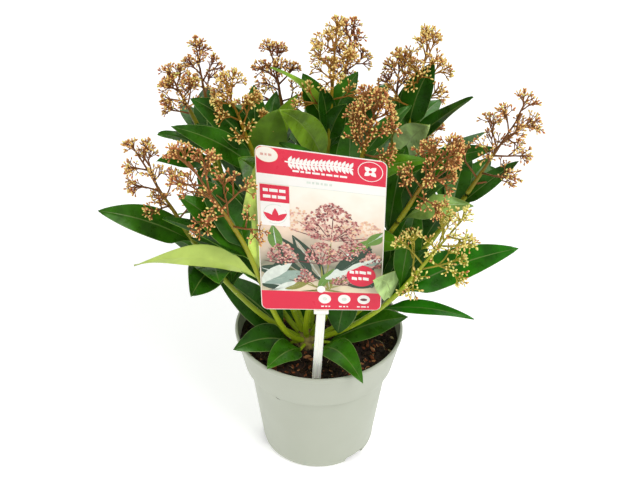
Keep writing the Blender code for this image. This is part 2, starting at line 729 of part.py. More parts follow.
def head_pieces(made, owner, clearances, draw):
    """The axis of a flower head and its sprays, which turn round it and shorten upward."""
    base, tip = made["base"], made["tip"]
    axis = tip - base
    along = axis.normalized()
    side = along.orthogonal().normalized()
    pieces = [cone_between(base - along * ROOT_SINK, tip, STEM_TOP_RADIUS * AXIS_FOOT_SHARE,
                           AXIS_TIP_RADIUS, AXIS_SIDES, parts)]
    count = made["sprays"]
    for k in range(count + 1):
        share = TOP_SPRAY if k == count else LOW_SPRAY + (HIGH_SPRAY - LOW_SPRAY) * k / (count - 1)
        opening = 0 if k == count else OPEN_LOW + (OPEN_TOP - OPEN_LOW) * share
        turn = math.radians(made["start"] + GOLDEN_TURN * k)
        length = made["reach"] * (1 - REACH_LOSS * share) * draw.uniform(*REACH_SPREAD)
        outward = along * math.cos(math.radians(opening))
        outward += Matrix.Rotation(turn, 3, along) @ side * math.sin(math.radians(opening))
        spray = spray_pieces(base + axis * share, outward, length, draw)
        trees = [tree_of(piece) for piece in spray]
        if any(clearances.blocked(owner, tree) for tree in trees):
            for piece in spray:
                bpy.data.objects.remove(piece, do_unlink=True)
        else:
            pieces += spray
    for piece in pieces:
        clearances.add(owner, tree_of(piece))
    return pieces


def tree_of(made):
    bpy.context.view_layer.update()
    verts = [made.matrix_world @ vert.co for vert in made.data.vertices]
    return BVHTree.FromPolygons(verts, [tuple(face.vertices) for face in made.data.polygons])


def place_leaf(blade, root, owner, clearances):
    """Puts a leaf at the first of a few headings and rises where it touches nothing."""
    for lift in LEAF_LIFTS:
        for shift in LEAF_SHIFTS:
            tried = dict(blade, heading=blade["heading"] + shift, rise=blade["rise"] + lift)
            whole, outer = leaf_trees(tried, root)
            if not clearances.blocked(owner, whole, outer):
                made = leaf_solid(tried, root, parts)
                clearances.add(owner, tree_of(made), outer)
                return [made]
    print("left out a leaf of", owner, "at heading", blade["heading"])
    return []


def whorl_leaves(ring, draw):
    """The leaves of a whorl, each a little off the even turn."""
    blades = []
    for k in range(ring["count"]):
        share = k / max(1, ring["count"] - 1)
        heading = ring["first"] + (ring["last"] - ring["first"]) * share
        heading += draw.uniform(-WHORL_JITTER, WHORL_JITTER)
        rise = ring["rise"] + draw.uniform(-WHORL_JITTER, WHORL_JITTER)
        length = ring["length"] * draw.uniform(*WHORL_LENGTHS)
        blades.append({"along": ring["along"], "heading": heading, "rise": rise,
                       "length": length, "width": length / WHORL_SLENDERNESS,
                       "arch": draw.uniform(*WHORL_ARCHES),
                       "roll": draw.uniform(-WHORL_ROLL, WHORL_ROLL),
                       "rings": PLAIN_LEAF_RINGS})
    return blades


def make_shoots(clearances):
    """Boughs first, then every mass's stems and flower heads, then its leaves, then the unions."""
    masses = {}
    for name, shoot in SHOOTS.items():
        bough = stem_tube("stem_" + name, shoot, 0, BOUGH_SHARE, parts)
        clearances.add(bough.name, tree_of(bough))
        owner = "foliage_" + name
        first = BOUGH_SHARE + share_of(shoot, GAP)
        limbs = [stem_tube(owner, shoot, first, 1, parts)]
        limbs += [fork_tube(shoot, other) for other in shoot["heads"][1:]]
        for limb in limbs:
            clearances.add(owner, tree_of(limb), tree_of(limb))
        masses[name] = limbs
    draws = {name: random.Random(shoot["seed"]) for name, shoot in SHOOTS.items()}
    for name, shoot in SHOOTS.items():
        for made in shoot["heads"]:
            masses[name] += head_pieces(made, "foliage_" + name, clearances, draws[name])
    twigs = make_low_twigs(clearances)
    for name, shoot in SHOOTS.items():
        for blade in shoot["leaves"]:
            root = shoot_path(shoot, blade["along"])
            masses[name] += place_leaf(blade, root, "foliage_" + name, clearances)
    for name, shoot in SHOOTS.items():
        for ring in shoot["whorls"]:
            for blade in whorl_leaves(ring, draws[name]):
                root = shoot_path(shoot, blade["along"])
                masses[name] += place_leaf(blade, root, "foliage_" + name, clearances)
    fused = [fuse("foliage_" + name, pieces) for name, pieces in masses.items()]
    return fused + [fuse("foliage_" + name, pieces) for name, pieces in twigs.items()]


def make_low_twigs(clearances):
    """Short twigs near the soil, each with its leaves."""
    twigs = {}
    for name, twig in LOW_TWIGS.items():
        out = direction(*twig["foot"])
        start = CROWN_CENTRE + out * (CROWN_RADIUS + GAP)
        end = start + out * twig["length"]
        limb = cone_between(start, end, LOW_TWIG_RADIUS, LOW_TWIG_RADIUS, LOW_TWIG_SIDES, parts)
        clearances.add("foliage_" + name, tree_of(limb), tree_of(limb))
        twigs[name] = [limb]
        for blade in twig["leaves"]:
            root = end - out * ROOT_SINK
            twigs[name] += place_leaf(blade, root, "foliage_" + name, clearances)
    return twigs


def paint(fused):
    """Gives every part its material."""
    plastic = make_material("pot_plastic", (0.56, 0.62, 0.58), 0.45)
    earth = make_material("soil", (0.06, 0.035, 0.02), 0.95)
    bark = make_material("bark", (0.34, 0.26, 0.14), 0.8)
    stem = make_material("green_stem", (0.35, 0.42, 0.10), 0.5)
    leafage = make_material("foliage", (0.06, 0.17, 0.04), 0.35)
    card = make_material("label_print", (0.75, 0.35, 0.36), 0.35)
    white = make_material("label_stick", (0.85, 0.85, 0.83), 0.4)
    fixed = {"pot": plastic, "soil": earth, "crown": bark, "label_card": card,
             "label_stick": white}
    for made in parts.objects:
        chosen = fixed.get(made.name, stem)
        if made.name.startswith("foliage_"):
            chosen = leafage
        made.data.materials.clear()
        made.data.materials.append(chosen)


def main():
    clear_scene()
    clearances = Clearances()
    for made in (make_pot(), make_soil(), make_crown(), make_card(), make_stick()):
        plain = evaluated_mesh(made)
        guide = new_object("guide", plain, cutters)
        guide.matrix_world = made.matrix_world
        clearances.add(made.name, tree_of(guide))
        bpy.data.objects.remove(guide, do_unlink=True)
    paint(make_shoots(clearances))


main()
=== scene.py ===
import math
import random

import bpy
import numpy as np
from mathutils import Matrix, Vector
from mathutils.bvhtree import BVHTree


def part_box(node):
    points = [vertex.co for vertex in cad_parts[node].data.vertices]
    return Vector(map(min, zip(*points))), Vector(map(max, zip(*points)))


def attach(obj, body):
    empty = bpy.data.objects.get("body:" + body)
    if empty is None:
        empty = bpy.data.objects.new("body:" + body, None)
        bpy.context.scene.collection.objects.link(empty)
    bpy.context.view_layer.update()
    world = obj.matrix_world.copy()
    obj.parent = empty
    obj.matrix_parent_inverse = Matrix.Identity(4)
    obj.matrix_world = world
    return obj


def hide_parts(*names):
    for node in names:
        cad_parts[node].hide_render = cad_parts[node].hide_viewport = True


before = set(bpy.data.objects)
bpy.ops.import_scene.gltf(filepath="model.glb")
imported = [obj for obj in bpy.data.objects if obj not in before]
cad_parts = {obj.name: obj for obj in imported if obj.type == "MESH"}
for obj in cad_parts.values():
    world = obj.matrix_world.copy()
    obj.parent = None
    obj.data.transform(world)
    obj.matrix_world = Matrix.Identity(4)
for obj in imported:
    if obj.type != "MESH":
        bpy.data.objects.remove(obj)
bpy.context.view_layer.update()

mm = 0.001
goldenTurn = 137.5
seeds = {"chips": 21, "fibres": 22, "posy": 31, "scars": 41, "leaves": 61, "buds": 91,
         "sway": 50, "uneven": 60, "stemRelief": 70}

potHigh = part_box("pot")[1]
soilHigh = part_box("soil")[1]
cardLow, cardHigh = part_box("label_card")
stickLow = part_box("label_stick")[0]
crownLow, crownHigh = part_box("crown")


# Materials

surface = {"rampStart": 0.35, "rampEnd": 0.65, "detail": 3, "glossPatch": 2.7, "coatRoughness": 0.22,
           "bleed": (0.4, 1.0, 0.1), "bleedScale": 1.5 * mm}


# A colour made brighter by a factor.
def brighter(colour, factor):
    return tuple(factor * part for part in colour)


# A colour with a share of another mixed in.
def mixed(colour, other, share):
    return tuple((1 - share) * part + share * extra for part, extra in zip(colour, other))


# Joins two sockets of a material's node tree.
def link(tree, output, socket):
    tree.links.new(output, socket)


# A noise texture on Object coordinates, with scale patches to a metre.
def noiseOf(tree, scale):
    noise = tree.nodes.new("ShaderNodeTexNoise")
    noise.inputs["Scale"].default_value = scale
    noise.inputs["Detail"].default_value = surface["detail"]
    link(tree, tree.nodes.new("ShaderNodeTexCoord").outputs["Object"], noise.inputs["Vector"])
    return noise.outputs["Fac"]


# The UV map's u and v, as two numbers.
def uvOf(tree):
    flat = tree.nodes.new("ShaderNodeSeparateXYZ")
    link(tree, tree.nodes.new("ShaderNodeUVMap").outputs["UV"], flat.inputs["Vector"])
    return flat.outputs["X"], flat.outputs["Y"]


# A colour ramp through (place, colour) stops.
def rampOf(tree, factor, stops):
    ramp = tree.nodes.new("ShaderNodeValToRGB")
    marks = ramp.color_ramp.elements
    while len(marks) < len(stops):
        marks.new(1)
    for mark, (place, colour) in zip(marks, stops):
        mark.position = place
        mark.color = (*colour, 1)
    link(tree, factor, ramp.inputs["Fac"])
    return ramp.outputs["Color"]


# A math node on two numbers, each a value or a socket.
def mathOf(tree, operation, first, second=0.0):
    node = tree.nodes.new("ShaderNodeMath")
    node.operation = operation
    for socket, value in zip(node.inputs, (first, second)):
        if isinstance(value, (int, float)):
            socket.default_value = value
        else:
            link(tree, value, socket)
    return node.outputs[0]


# Relief of a height, on top of what lies under it.
def bumpOf(tree, height, distance, under=None):
    bump = tree.nodes.new("ShaderNodeBump")
    bump.inputs["Distance"].default_value = distance
    link(tree, height, bump.inputs["Height"])
    if under is not None:
        link(tree, under, bump.inputs["Normal"])
    return bump.outputs["Normal"]


# The place from 0 to 1 along the UV map's v, pushed to and fro by patches.
def pushedPlace(tree, patch, push):
    shift = mathOf(tree, "MULTIPLY", mathOf(tree, "SUBTRACT", noiseOf(tree, patch), 0.5), push)
    return mathOf(tree, "ADD", uvOf(tree)[1], shift)


# A surface whose colour drifts between two close tones, or follows stops along the UV map's v, with fine
# relief and uneven gloss. drift is the second tone, or how many times brighter it is. patch and grain are
# how many patches and grains a metre holds.
def finish(name, colour, drift, roughness, patch=60, grain=900, relief=0.02 * mm, coat=0.0, spread=0.05,
           veins=False, translucent=0.0, shine=0.5, tint=None, stops=None, push=0.2, glow=0.0):
    material = bpy.data.materials.new(name)
    material.use_nodes = True
    tree = material.node_tree
    shader = tree.nodes["Principled BSDF"]
    start, end = surface["rampStart"], surface["rampEnd"]
    if isinstance(drift, float):
        drift = brighter(colour, drift)
    if stops:
        shade = rampOf(tree, pushedPlace(tree, patch, push), stops)
    else:
        shade = rampOf(tree, noiseOf(tree, patch), [(start, colour), (end, drift)])
    link(tree, shade, shader.inputs["Base Color"])
    gloss = [(start, (roughness - spread,) * 3), (end, (roughness + spread,) * 3)]
    uneven = noiseOf(tree, patch * surface["glossPatch"])
    link(tree, rampOf(tree, uneven, gloss), shader.inputs["Roughness"])
    values = {"Emission Color": (1, 1, 1, 1), "Emission Strength": glow, "Specular IOR Level": shine,
              "Coat Weight": coat, "Coat Roughness": surface["coatRoughness"]}
    if tint is not None:
        values["Specular Tint"] = (*tint, 1)
    if translucent:
        values["Subsurface Weight"] = translucent
        values["Subsurface Radius"] = surface["bleed"]
        values["Subsurface Scale"] = surface["bleedScale"]
    for socket, value in values.items():
        shader.inputs[socket].default_value = value
    normal = bumpOf(tree, noiseOf(tree, grain), relief)
    if veins:
        normal = bumpOf(tree, veinHeight(tree), leafLook["veinRelief"], normal)
    link(tree, normal, shader.inputs["Normal"])
    return material


# Side veins that leave the midrib forward, as a wave along v minus the distance from it.
def veinHeight(tree):
    across, along = uvOf(tree)
    swept = mathOf(tree, "MULTIPLY", mathOf(tree, "ABSOLUTE", across), leafLook["veinSweep"])
    phase = mathOf(tree, "SUBTRACT", along, swept)
    wave = mathOf(tree, "SINE", mathOf(tree, "MULTIPLY", phase, 2 * math.pi / leafLook["veinStep"]))
    half = mathOf(tree, "MULTIPLY", mathOf(tree, "ADD", wave, 1), 0.5)
    return mathOf(tree, "POWER", half, leafLook["veinNarrow"])


# Meshes


# Collects skins worked out as arrays, until they are made into one piece.
class Bundle:

    def __init__(self):
        self.points, self.faces, self.finishes, self.flats, self.count = [], [], [], [], 0

    # Points (n, 3), lists of equal-sided faces with their material numbers, and UVs.
    def add(self, points, faces, finishes, flat=None):
        for side, tones in zip(faces, finishes):
            self.faces.append(side + self.count)
            self.finishes.append(tones)
        self.points.append(points)
        self.flats.append(np.zeros((len(points), 2)) if flat is None else flat)
        self.count += len(points)

    # Closed skins from rings of shape (skins, along, around, 3), with a fan at each end. finishes is
    # a number or an array (along - 1, around); tips (skins, 2, 3) are the fans' middles.
    def skin(self, rings, finishes=0, tips=None, flat=None):
        skins, along, around = rings.shape[:3]
        if tips is None:
            tips = np.stack([rings[:, 0].mean(1), rings[:, -1].mean(1)], 1)
        points = np.concatenate([rings.reshape(skins, -1, 3), tips], 1)
        k = np.arange(around)
        after = (k + 1) % around
        rows = np.arange(along - 1)[:, None] * around
        quads = np.stack([rows + k, rows + after, rows + around + after, rows + around + k], -1)
        quads = quads.reshape(-1, 4)
        last = (along - 1) * around
        foot = np.stack([np.full(around, along * around), after, k], -1)
        top = np.stack([np.full(around, along * around + 1), last + k, last + after], -1)
        fans = np.concatenate([foot, top])
        table = np.broadcast_to(finishes, (along - 1, around))
        quadFinish, fanFinish = table.ravel(), np.concatenate([table[0], table[-1]])
        if inwards(points[0], quads, fans):
            quads, fans = quads[:, ::-1], fans[:, ::-1]
        step = (np.arange(skins) * points.shape[1])[:, None, None]
        if flat is not None:
            middles = np.stack([flat[:, 0].mean(1), flat[:, -1].mean(1)], 1)
            flat = np.concatenate([flat.reshape(skins, -1, 2), middles], 1).reshape(-1, 2)
        self.add(points.reshape(-1, 3), [(quads + step).reshape(-1, 4), (fans + step).reshape(-1, 3)],
                 [np.tile(quadFinish, skins), np.tile(fanFinish, skins)], flat)

    # Makes the piece that rides on the body and stands for some of the frame's nodes.
    def make(self, name, materials, slot, replaces=(), sharp=None):
        mesh = bpy.data.meshes.new(name)
        points = np.concatenate(self.points)
        corners = np.concatenate([side.ravel() for side in self.faces])
        sizes = np.concatenate([np.full(len(side), side.shape[1]) for side in self.faces])
        mesh.vertices.add(len(points))
        mesh.vertices.foreach_set("co", points.astype(np.float32).ravel())
        mesh.loops.add(len(corners))
        mesh.loops.foreach_set("vertex_index", corners.astype(np.int32))
        mesh.polygons.add(len(sizes))
        mesh.polygons.foreach_set("loop_start", (np.cumsum(sizes) - sizes).astype(np.int32))
        mesh.polygons.foreach_set("material_index", np.concatenate(self.finishes).astype(np.int32))
        mesh.polygons.foreach_set("use_smooth", np.ones(len(sizes), bool))
        layer = mesh.uv_layers.new(name="flat")
        layer.data.foreach_set("uv", np.concatenate(self.flats)[corners].astype(np.float32).ravel())
        mesh.update(calc_edges=True)
        if sharp is not None:
            mesh.set_sharp_from_angle(angle=math.radians(sharp))
        for material in materials:
            mesh.materials.append(material)
        piece = bpy.data.objects.new(name, mesh)
        bpy.context.scene.collection.objects.link(piece)
        return seat(piece, replaces)


# Rides a finished piece on the plant's body and hides the frame's parts that it stands for.
def seat(piece, replaces=()):
    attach(piece, "root")
    if replaces:
        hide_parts(*replaces)
    print("made", piece.name, sum(len(face.vertices) - 2 for face in piece.data.polygons), "triangles")
    return piece


# True if a closed skin's faces point inwards: its signed volume is negative.
def inwards(points, quads, fans):
    sides = np.concatenate([quads[:, [0, 1, 2]], quads[:, [0, 2, 3]], fans])
    a, b, c = (points[sides[:, k]] - points.mean(0) for k in range(3))
    return np.einsum("ij,ij->i", a, np.cross(b, c)).sum() < 0


# Vectors brought to length one.
def unit(vectors):
    return vectors / np.maximum(np.linalg.norm(vectors, axis=-1, keepdims=True), 1e-12)


# The unit vector of an azimuth and a rise, both in degrees.
def heading(azimuth, rise):
    azimuth, rise = math.radians(azimuth), math.radians(rise)
    return np.array([math.cos(azimuth) * math.cos(rise), math.sin(azimuth) * math.cos(rise), math.sin(rise)])


# Two unit vectors square to each of the given ways.
def frameOf(ways):
    helper = np.where(np.abs(ways[..., 2:]) < 0.9, (0.0, 0.0, 1.0), (1.0, 0.0, 0.0))
    side = unit(np.cross(ways, helper))
    return side, np.cross(ways, side)


# Even turns round a circle, in radians.
def evenTurns(count):
    return 2 * np.pi * np.arange(count) / count


# Unit vectors all round each way and square to it.
def rimsOf(ways, around):
    side, up = frameOf(ways)
    turns = evenTurns(around)
    return side[..., None, :] * np.cos(turns)[:, None] + up[..., None, :] * np.sin(turns)[:, None]


# Rings round paths (skins, along, 3): a circle of each radius, square to the path.
def tubeRings(paths, radii, around):
    rims = rimsOf(unit(np.gradient(paths, axis=1)), around)
    return paths[..., None, :] + rims * np.asarray(radii)[..., None, None]


# Rings of a turned shape from a profile of (radius, height) points.
def turnedRings(profile, around, centre=(0, 0)):
    profile = np.asarray(profile, float)
    turns = evenTurns(around)
    x = centre[0] + profile[:, :1] * np.cos(turns)
    y = centre[1] + profile[:, :1] * np.sin(turns)
    return np.stack([x, y, np.broadcast_to(profile[:, 1:], x.shape)], -1)[None]


# A profile with each inner corner replaced by a quadratic arc that starts radius before it.
def filleted(corners, radius, steps=5):
    corners = np.asarray(corners, float)
    made = [corners[0]]
    for before, corner, after in zip(corners, corners[1:], corners[2:]):
        reachIn = min(radius, np.linalg.norm(before - corner) * 0.45)
        reachOut = min(radius, np.linalg.norm(after - corner) * 0.45)
        start = corner + unit(before - corner) * reachIn
        end = corner + unit(after - corner) * reachOut
        for t in np.linspace(0, 1, steps):
            made.append(start * (1 - t) ** 2 + corner * 2 * t * (1 - t) + end * t * t)
    return np.array(made + [corners[-1]])


# A smooth random field from -1 to 1: nine sines of several directions and lengths, added.
def waves(points, scale, seed):
    draw = np.random.default_rng(seed)
    ways = unit(draw.normal(size=(9, 3))) * scale * draw.uniform(0.6, 1.8, (9, 1))
    phases = draw.uniform(0, 2 * np.pi, 9)
    return np.sin(points @ ways.T + phases).mean(-1) * 1.6


# Several such fields, each by its scale, its seed and its share.
def layered(points, fields):
    return sum(waves(points, scale, seed) * share for scale, seed, share in fields)


# Pot

potLook = {"colour": (0.43, 0.455, 0.368), "drift": (0.45, 0.475, 0.388), "roughness": 0.42,
           "lip": 3 * mm, "skirt": 32 * mm, "skirtRadius": 58.4 * mm, "shoulder": 3 * mm,
           "bodyRadius": 54 * mm, "baseRadius": 44.4 * mm, "chamfer": 1.5 * mm, "wall": 1.3 * mm,
           "floor": 1.8 * mm, "ridgeHeight": 5 * mm, "ridge": 0.25 * mm, "fillet": 0.9 * mm,
           "around": 144, "sharp": 35, "slots": 3, "slotTurn": -48, "slotWidth": 18 * mm,
           "slotHeight": 5.5 * mm, "slotInner": 37 * mm, "slotPast": 4 * mm, "slotRound": 2 * mm}
nickLook = {"colour": (0.20, 0.20, 0.17), "drift": (0.30, 0.31, 0.26), "turn": 239, "halfTurn": 2.2,
            "height": 80 * mm, "halfHeight": 0.4 * mm, "lift": 0.35 * mm,
            "radii": (0.08 * mm, 0.22 * mm, 0.26 * mm, 0.18 * mm, 0.08 * mm)}


# Inner radius of the pot's skirt at a height, even between its foot and the lip.
def wallRadius(height):
    low, foot = potLook["skirtRadius"] - potLook["wall"], potHigh.z - potLook["skirt"] + potLook["wall"]
    share = (height - foot) / (potHigh.z - potLook["lip"] - foot)
    return low + (potHigh.x - potLook["wall"] - low) * share


# The pot is one turned wall: its outer profile from the foot up to the rim, then the inner one down.
def makePot():
    look, rim, top = potLook, potHigh.x, potHigh.z
    lip, foot = top - look["lip"], top - look["skirt"]
    shoulder, wall, floor = foot - look["shoulder"], look["wall"], look["floor"]
    skirt, body, base = look["skirtRadius"], look["bodyRadius"], look["baseRadius"]
    ridge, chamfer = look["ridgeHeight"], look["chamfer"]
    slope = (body - base) / shoulder
    outside = [(0.5 * mm, 0), (base - chamfer, 0), (base, chamfer),
               (base + slope * (ridge - 1 * mm), ridge - 1 * mm),
               (base + slope * ridge + look["ridge"], ridge), (base + slope * ridge, ridge + 0.8 * mm),
               (body, shoulder), (skirt - 0.8 * mm, foot - 0.2 * mm), (skirt, foot + 1 * mm),
               (rim - 0.75 * mm, lip - 0.5 * mm), (rim - 0.1 * mm, lip + 0.1 * mm),
               (rim, top - 0.8 * mm), (rim - 0.8 * mm, top)]
    inside = [(rim - 2.2 * mm, top), (rim - wall - 0.9 * mm, top - 1.2 * mm), (wallRadius(lip), lip),
              (skirt - wall, foot + wall), (body - wall, shoulder + wall / 2), (base - wall, floor + chamfer),
              (base - wall - chamfer, floor), (0.5 * mm, floor)]
    bundle = Bundle()
    bundle.skin(turnedRings(filleted(outside + inside, look["fillet"]), look["around"]))
    plastic = finish("potPlastic", look["colour"], look["drift"], look["roughness"], patch=22, grain=2600,
                     relief=0.006 * mm, spread=0.04)
    pot = bundle.make("potShell", [plastic], "pot_plastic", ["pot"], sharp=40)
    reach = (look["slotInner"] + base + look["slotPast"]) / 2
    for k in range(look["slots"]):
        cutSlot(pot, look["slotTurn"] + 360 / look["slots"] * k, reach, 2 * (reach - look["slotInner"]))
    bakeCuts(pot)
    makeNick()


# Takes a drain slot with round upper corners out of the foot of the wall.
def cutSlot(pot, turn, reach, depth):
    width, height = potLook["slotWidth"] / 2, potLook["slotHeight"]
    corners = [(-width, -height), (-width, height), (width, height), (width, -height)]
    outline = filleted(corners, potLook["slotRound"])
    ends = np.array([-depth / 2, depth / 2])
    rings = np.zeros((1, 2, len(outline), 3))
    rings[0, :, :, 0] = reach + ends[:, None]
    rings[0, :, :, 1:] = outline
    cutter = Bundle()
    cutter.skin(rings)
    tool = cutter.make("slotTool", [], "pot_plastic")
    tool.data.transform(Matrix.Rotation(math.radians(turn), 4, "Z"))
    cut = pot.modifiers.new("slot", "BOOLEAN")
    cut.operation = "DIFFERENCE"
    cut.object = tool


# Keeps the mesh that the cuts give, and removes them and their tools.
def bakeCuts(piece):
    mesh = bpy.data.meshes.new_from_object(piece.evaluated_get(bpy.context.evaluated_depsgraph_get()))
    tools = [cut.object for cut in piece.modifiers]
    piece.modifiers.clear()
    piece.data = mesh
    mesh.set_sharp_from_angle(angle=math.radians(potLook["sharp"]))
    for tool in tools:
        bpy.data.objects.remove(tool)


# A small scuff on the skirt's lower edge: one thin sliver that lies along the plastic.
def makeNick():
    look = nickLook
    steps = np.linspace(-1, 1, len(look["radii"]))
    turns = np.radians(look["turn"] + look["halfTurn"] * steps)
    radius, heights = potLook["skirtRadius"] + look["lift"], look["height"] - look["halfHeight"] * steps
    spine = np.stack([radius * np.cos(turns), radius * np.sin(turns), heights], -1)[None]
    bundle = Bundle()
    bundle.skin(tubeRings(spine, look["radii"], 6))
    bundle.make("potScuffMark", [finish("potScuff", look["colour"], look["drift"], 0.6)], "pot_plastic")


# Soil

soilLook = {"colour": (0.010, 0.0045, 0.0015), "drift": (0.032, 0.012, 0.004), "roughness": 0.95,
            "relief": 1.9 * mm, "rings": 60, "around": 150, "gap": 0.35 * mm, "edgeStart": 50 * mm,
            "edgeWidth": 12 * mm, "edgeDrop": 1.2 * mm, "scatter": 0.985,
            "lumps": ((260, 3, 0.55), (900, 4, 0.3), (2200, 5, 0.15))}  # scale, seed and share of each field
chipLook = {"count": 1900, "size": (1.8 * mm, 4.8 * mm), "shares": (0.52, 0.36, 0.08, 0.025, 0.015),
            "big": ((2, 30), (3, 15), (1, 15)), "bigSize": (4.5 * mm, 8.5 * mm), "slim": (0.25, 0.65),
            "thick": (0.18, 0.4), "jag": (0.7, 1.2), "tilt": 0.4, "lift": 0.2}
chipTones = {"black": (0.010, 0.006, 0.003), "umber": (0.034, 0.017, 0.007), "rust": (0.17, 0.052, 0.018),
             "tan": (0.32, 0.14, 0.06), "pale": (0.40, 0.30, 0.16)}
fibreLook = {"count": 120, "length": (4 * mm, 11 * mm), "bend": 1.2 * mm, "tilt": 0.12, "lift": 0.3 * mm,
             "radii": np.array([0.12, 0.22, 0.26, 0.26, 0.2, 0.1]) * mm,
             "straw": ((0.34, 0.24, 0.11), (0.44, 0.33, 0.18)),
             "peat": ((0.09, 0.035, 0.015), (0.15, 0.06, 0.025))}


# The soil's surface: coarse lumps, finer crumbs, and a low edge at the wall.
def soilHeight(x, y):
    look = soilLook
    places = np.stack([x, y, np.zeros_like(x)], -1)
    lumps = layered(places, look["lumps"])
    edge = np.clip((np.hypot(x, y) - look["edgeStart"]) / look["edgeWidth"], 0, 1)
    return soilHigh.z + look["relief"] * (lumps + 0.1) - look["edgeDrop"] * edge ** 2


# The soil's fill: rings of its uneven surface, then down inside the pot's wall, a gap away from it.
def makeSoil():
    look, gap, chamfer = soilLook, soilLook["gap"], potLook["chamfer"]
    outer = wallRadius(soilHigh.z) - gap
    radii = np.linspace(0.6 * mm, outer, look["rings"])
    rings = turnedRings(np.stack([radii, radii * 0], -1), look["around"])
    rings[..., 2] = soilHeight(rings[..., 0], rings[..., 1])
    foot, wall = potHigh.z - potLook["skirt"], potLook["wall"]
    low, floor = potLook["baseRadius"] - wall - 2 * gap, potLook["floor"] + gap
    sides = [(outer, soilHigh.z - 4 * mm), (potLook["skirtRadius"] - wall - gap, foot + wall + gap),
             (potLook["bodyRadius"] - wall - gap, foot - potLook["shoulder"] + wall / 2 + gap),
             (low, floor + chamfer), (low - chamfer, floor), (1 * mm, floor)]
    bundle = Bundle()
    bundle.skin(np.concatenate([rings, turnedRings(sides, look["around"])], 1))
    earth = finish("soilEarth", look["colour"], look["drift"], look["roughness"], patch=420, grain=1500,
                   relief=0.5 * mm)
    bundle.make("soilBed", [earth], "soil", ["soil"])
    makeChips(outer)
    makeFibres(outer)


# Places all over a disc, and the soil's height there.
def scattered(count, outer, draw):
    radius = outer * np.sqrt(draw.uniform(0, 1, count)) * soilLook["scatter"]
    turn = draw.uniform(0, 2 * np.pi, count)
    x, y = radius * np.cos(turn), radius * np.sin(turn)
    return np.stack([x, y, soilHeight(x, y)], -1)


# Bark chips: flat six-sided crumbs, each turned, tilted and broken its own way.
def makeChips(outer):
    look, bundle, draw = chipLook, Bundle(), np.random.default_rng(seeds["chips"])
    kinds = [(tone, int(look["count"] * share), look["size"]) for tone, share in enumerate(look["shares"])]
    kinds += [(tone, count, look["bigSize"]) for tone, count in look["big"]]
    turns = evenTurns(6)
    level, inset = np.array([-0.5, 0.1, 0.5])[:, None], np.array([0.75, 1.0, 0.7])[:, None]
    for tone, count, (least, most) in kinds:
        size = draw.uniform(least, most, (count, 1, 1))
        slim = draw.uniform(*look["slim"], (count, 1, 1))
        thick = size * draw.uniform(*look["thick"], (count, 1, 1))
        jag = draw.uniform(*look["jag"], (count, 1, 6))
        local = np.stack([size / 2 * inset * jag * np.cos(turns),
                          size / 2 * slim * inset * jag * np.sin(turns),
                          thick * level * np.ones_like(jag)], -1)
        lean = [draw.normal(0, look["tilt"], count) for _ in range(2)]
        ways = unit(np.stack([*lean, np.ones(count)], -1))
        side, up = frameOf(ways)
        spin = draw.uniform(0, 2 * np.pi, count)[:, None]
        first = side * np.cos(spin) + up * np.sin(spin)
        axes = np.stack([first, np.cross(ways, first), ways], 1)
        places = scattered(count, outer - most / 2, draw)
        places[:, 2] += thick[:, 0, 0] * look["lift"]
        bundle.skin(places[:, None, None] + np.einsum("krsi,kij->krsj", local, axes), tone)
    tones = [finish("chip" + tone.title(), colour, 1.5, 0.85, patch=500, shine=0.2)
             for tone, colour in chipTones.items()]
    bundle.make("soilChips", tones, "soil", sharp=30)


# Short pale and rust-brown fibres that lie bent on the soil.
def makeFibres(outer):
    look, bundle, draw = fibreLook, Bundle(), np.random.default_rng(seeds["fibres"])
    count = look["count"]
    middle = scattered(count, outer - 5 * mm, draw)
    turn = draw.uniform(0, 2 * np.pi, count)
    way = np.stack([np.cos(turn), np.sin(turn), draw.normal(0, look["tilt"], count)], -1)
    aside = np.stack([-np.sin(turn), np.cos(turn), np.zeros(count)], -1)
    bend = aside * draw.normal(0, look["bend"], (count, 1))
    length = draw.uniform(*look["length"], (count, 1))
    t = np.linspace(-0.5, 0.5, len(look["radii"]))
    paths = middle[:, None] + way[:, None] * (length[:, None] * t[None, :, None])
    paths = paths + bend[:, None] * (1 - 4 * t ** 2)[None, :, None]
    paths[..., 2] = np.maximum(paths[..., 2], soilHeight(paths[..., 0], paths[..., 1]) + look["lift"])
    bundle.skin(tubeRings(paths[: count // 2], look["radii"], 5), 0)
    bundle.skin(tubeRings(paths[count // 2:], look["radii"], 5), 1)
    straw, peat = finish("fibreStraw", *look["straw"], 0.7), finish("fibrePeat", *look["peat"], 0.8)
    bundle.make("soilFibres", [straw, peat], "soil")


# Label

labelLook = {"crimson": (0.70, 0.024, 0.060), "cream": (0.88, 0.84, 0.74), "white": (0.90, 0.88, 0.83),
             "header": 20.6 * mm, "strip": 7.6 * mm, "footer": 17 * mm, "edge": 0.5 * mm, "lean": 2 * mm,
             "corner": 5 * mm, "thickness": 0.6 * mm, "twist": 20 * mm, "ink": 0.05 * mm}
cardWidth = cardHigh.x - cardLow.x - labelLook["lean"]
cardHeight = cardHigh.z - cardLow.z
cardMiddle = (cardHigh.x + cardLow.x + labelLook["lean"]) / 2
cardBack = cardHigh.y - labelLook["thickness"] / 2


# A point on the twisted card; x from its middle, z from its foot, lift out of its front.
def cardPoint(x, z, lift):
    lean = -labelLook["twist"] * (x / cardWidth + 0.5) * z / cardHeight
    left = labelLook["lean"] * z / cardHeight
    return np.stack([cardMiddle + x - left, cardBack + lean - lift + 0 * z, cardLow.z + z + 0 * x], -1)


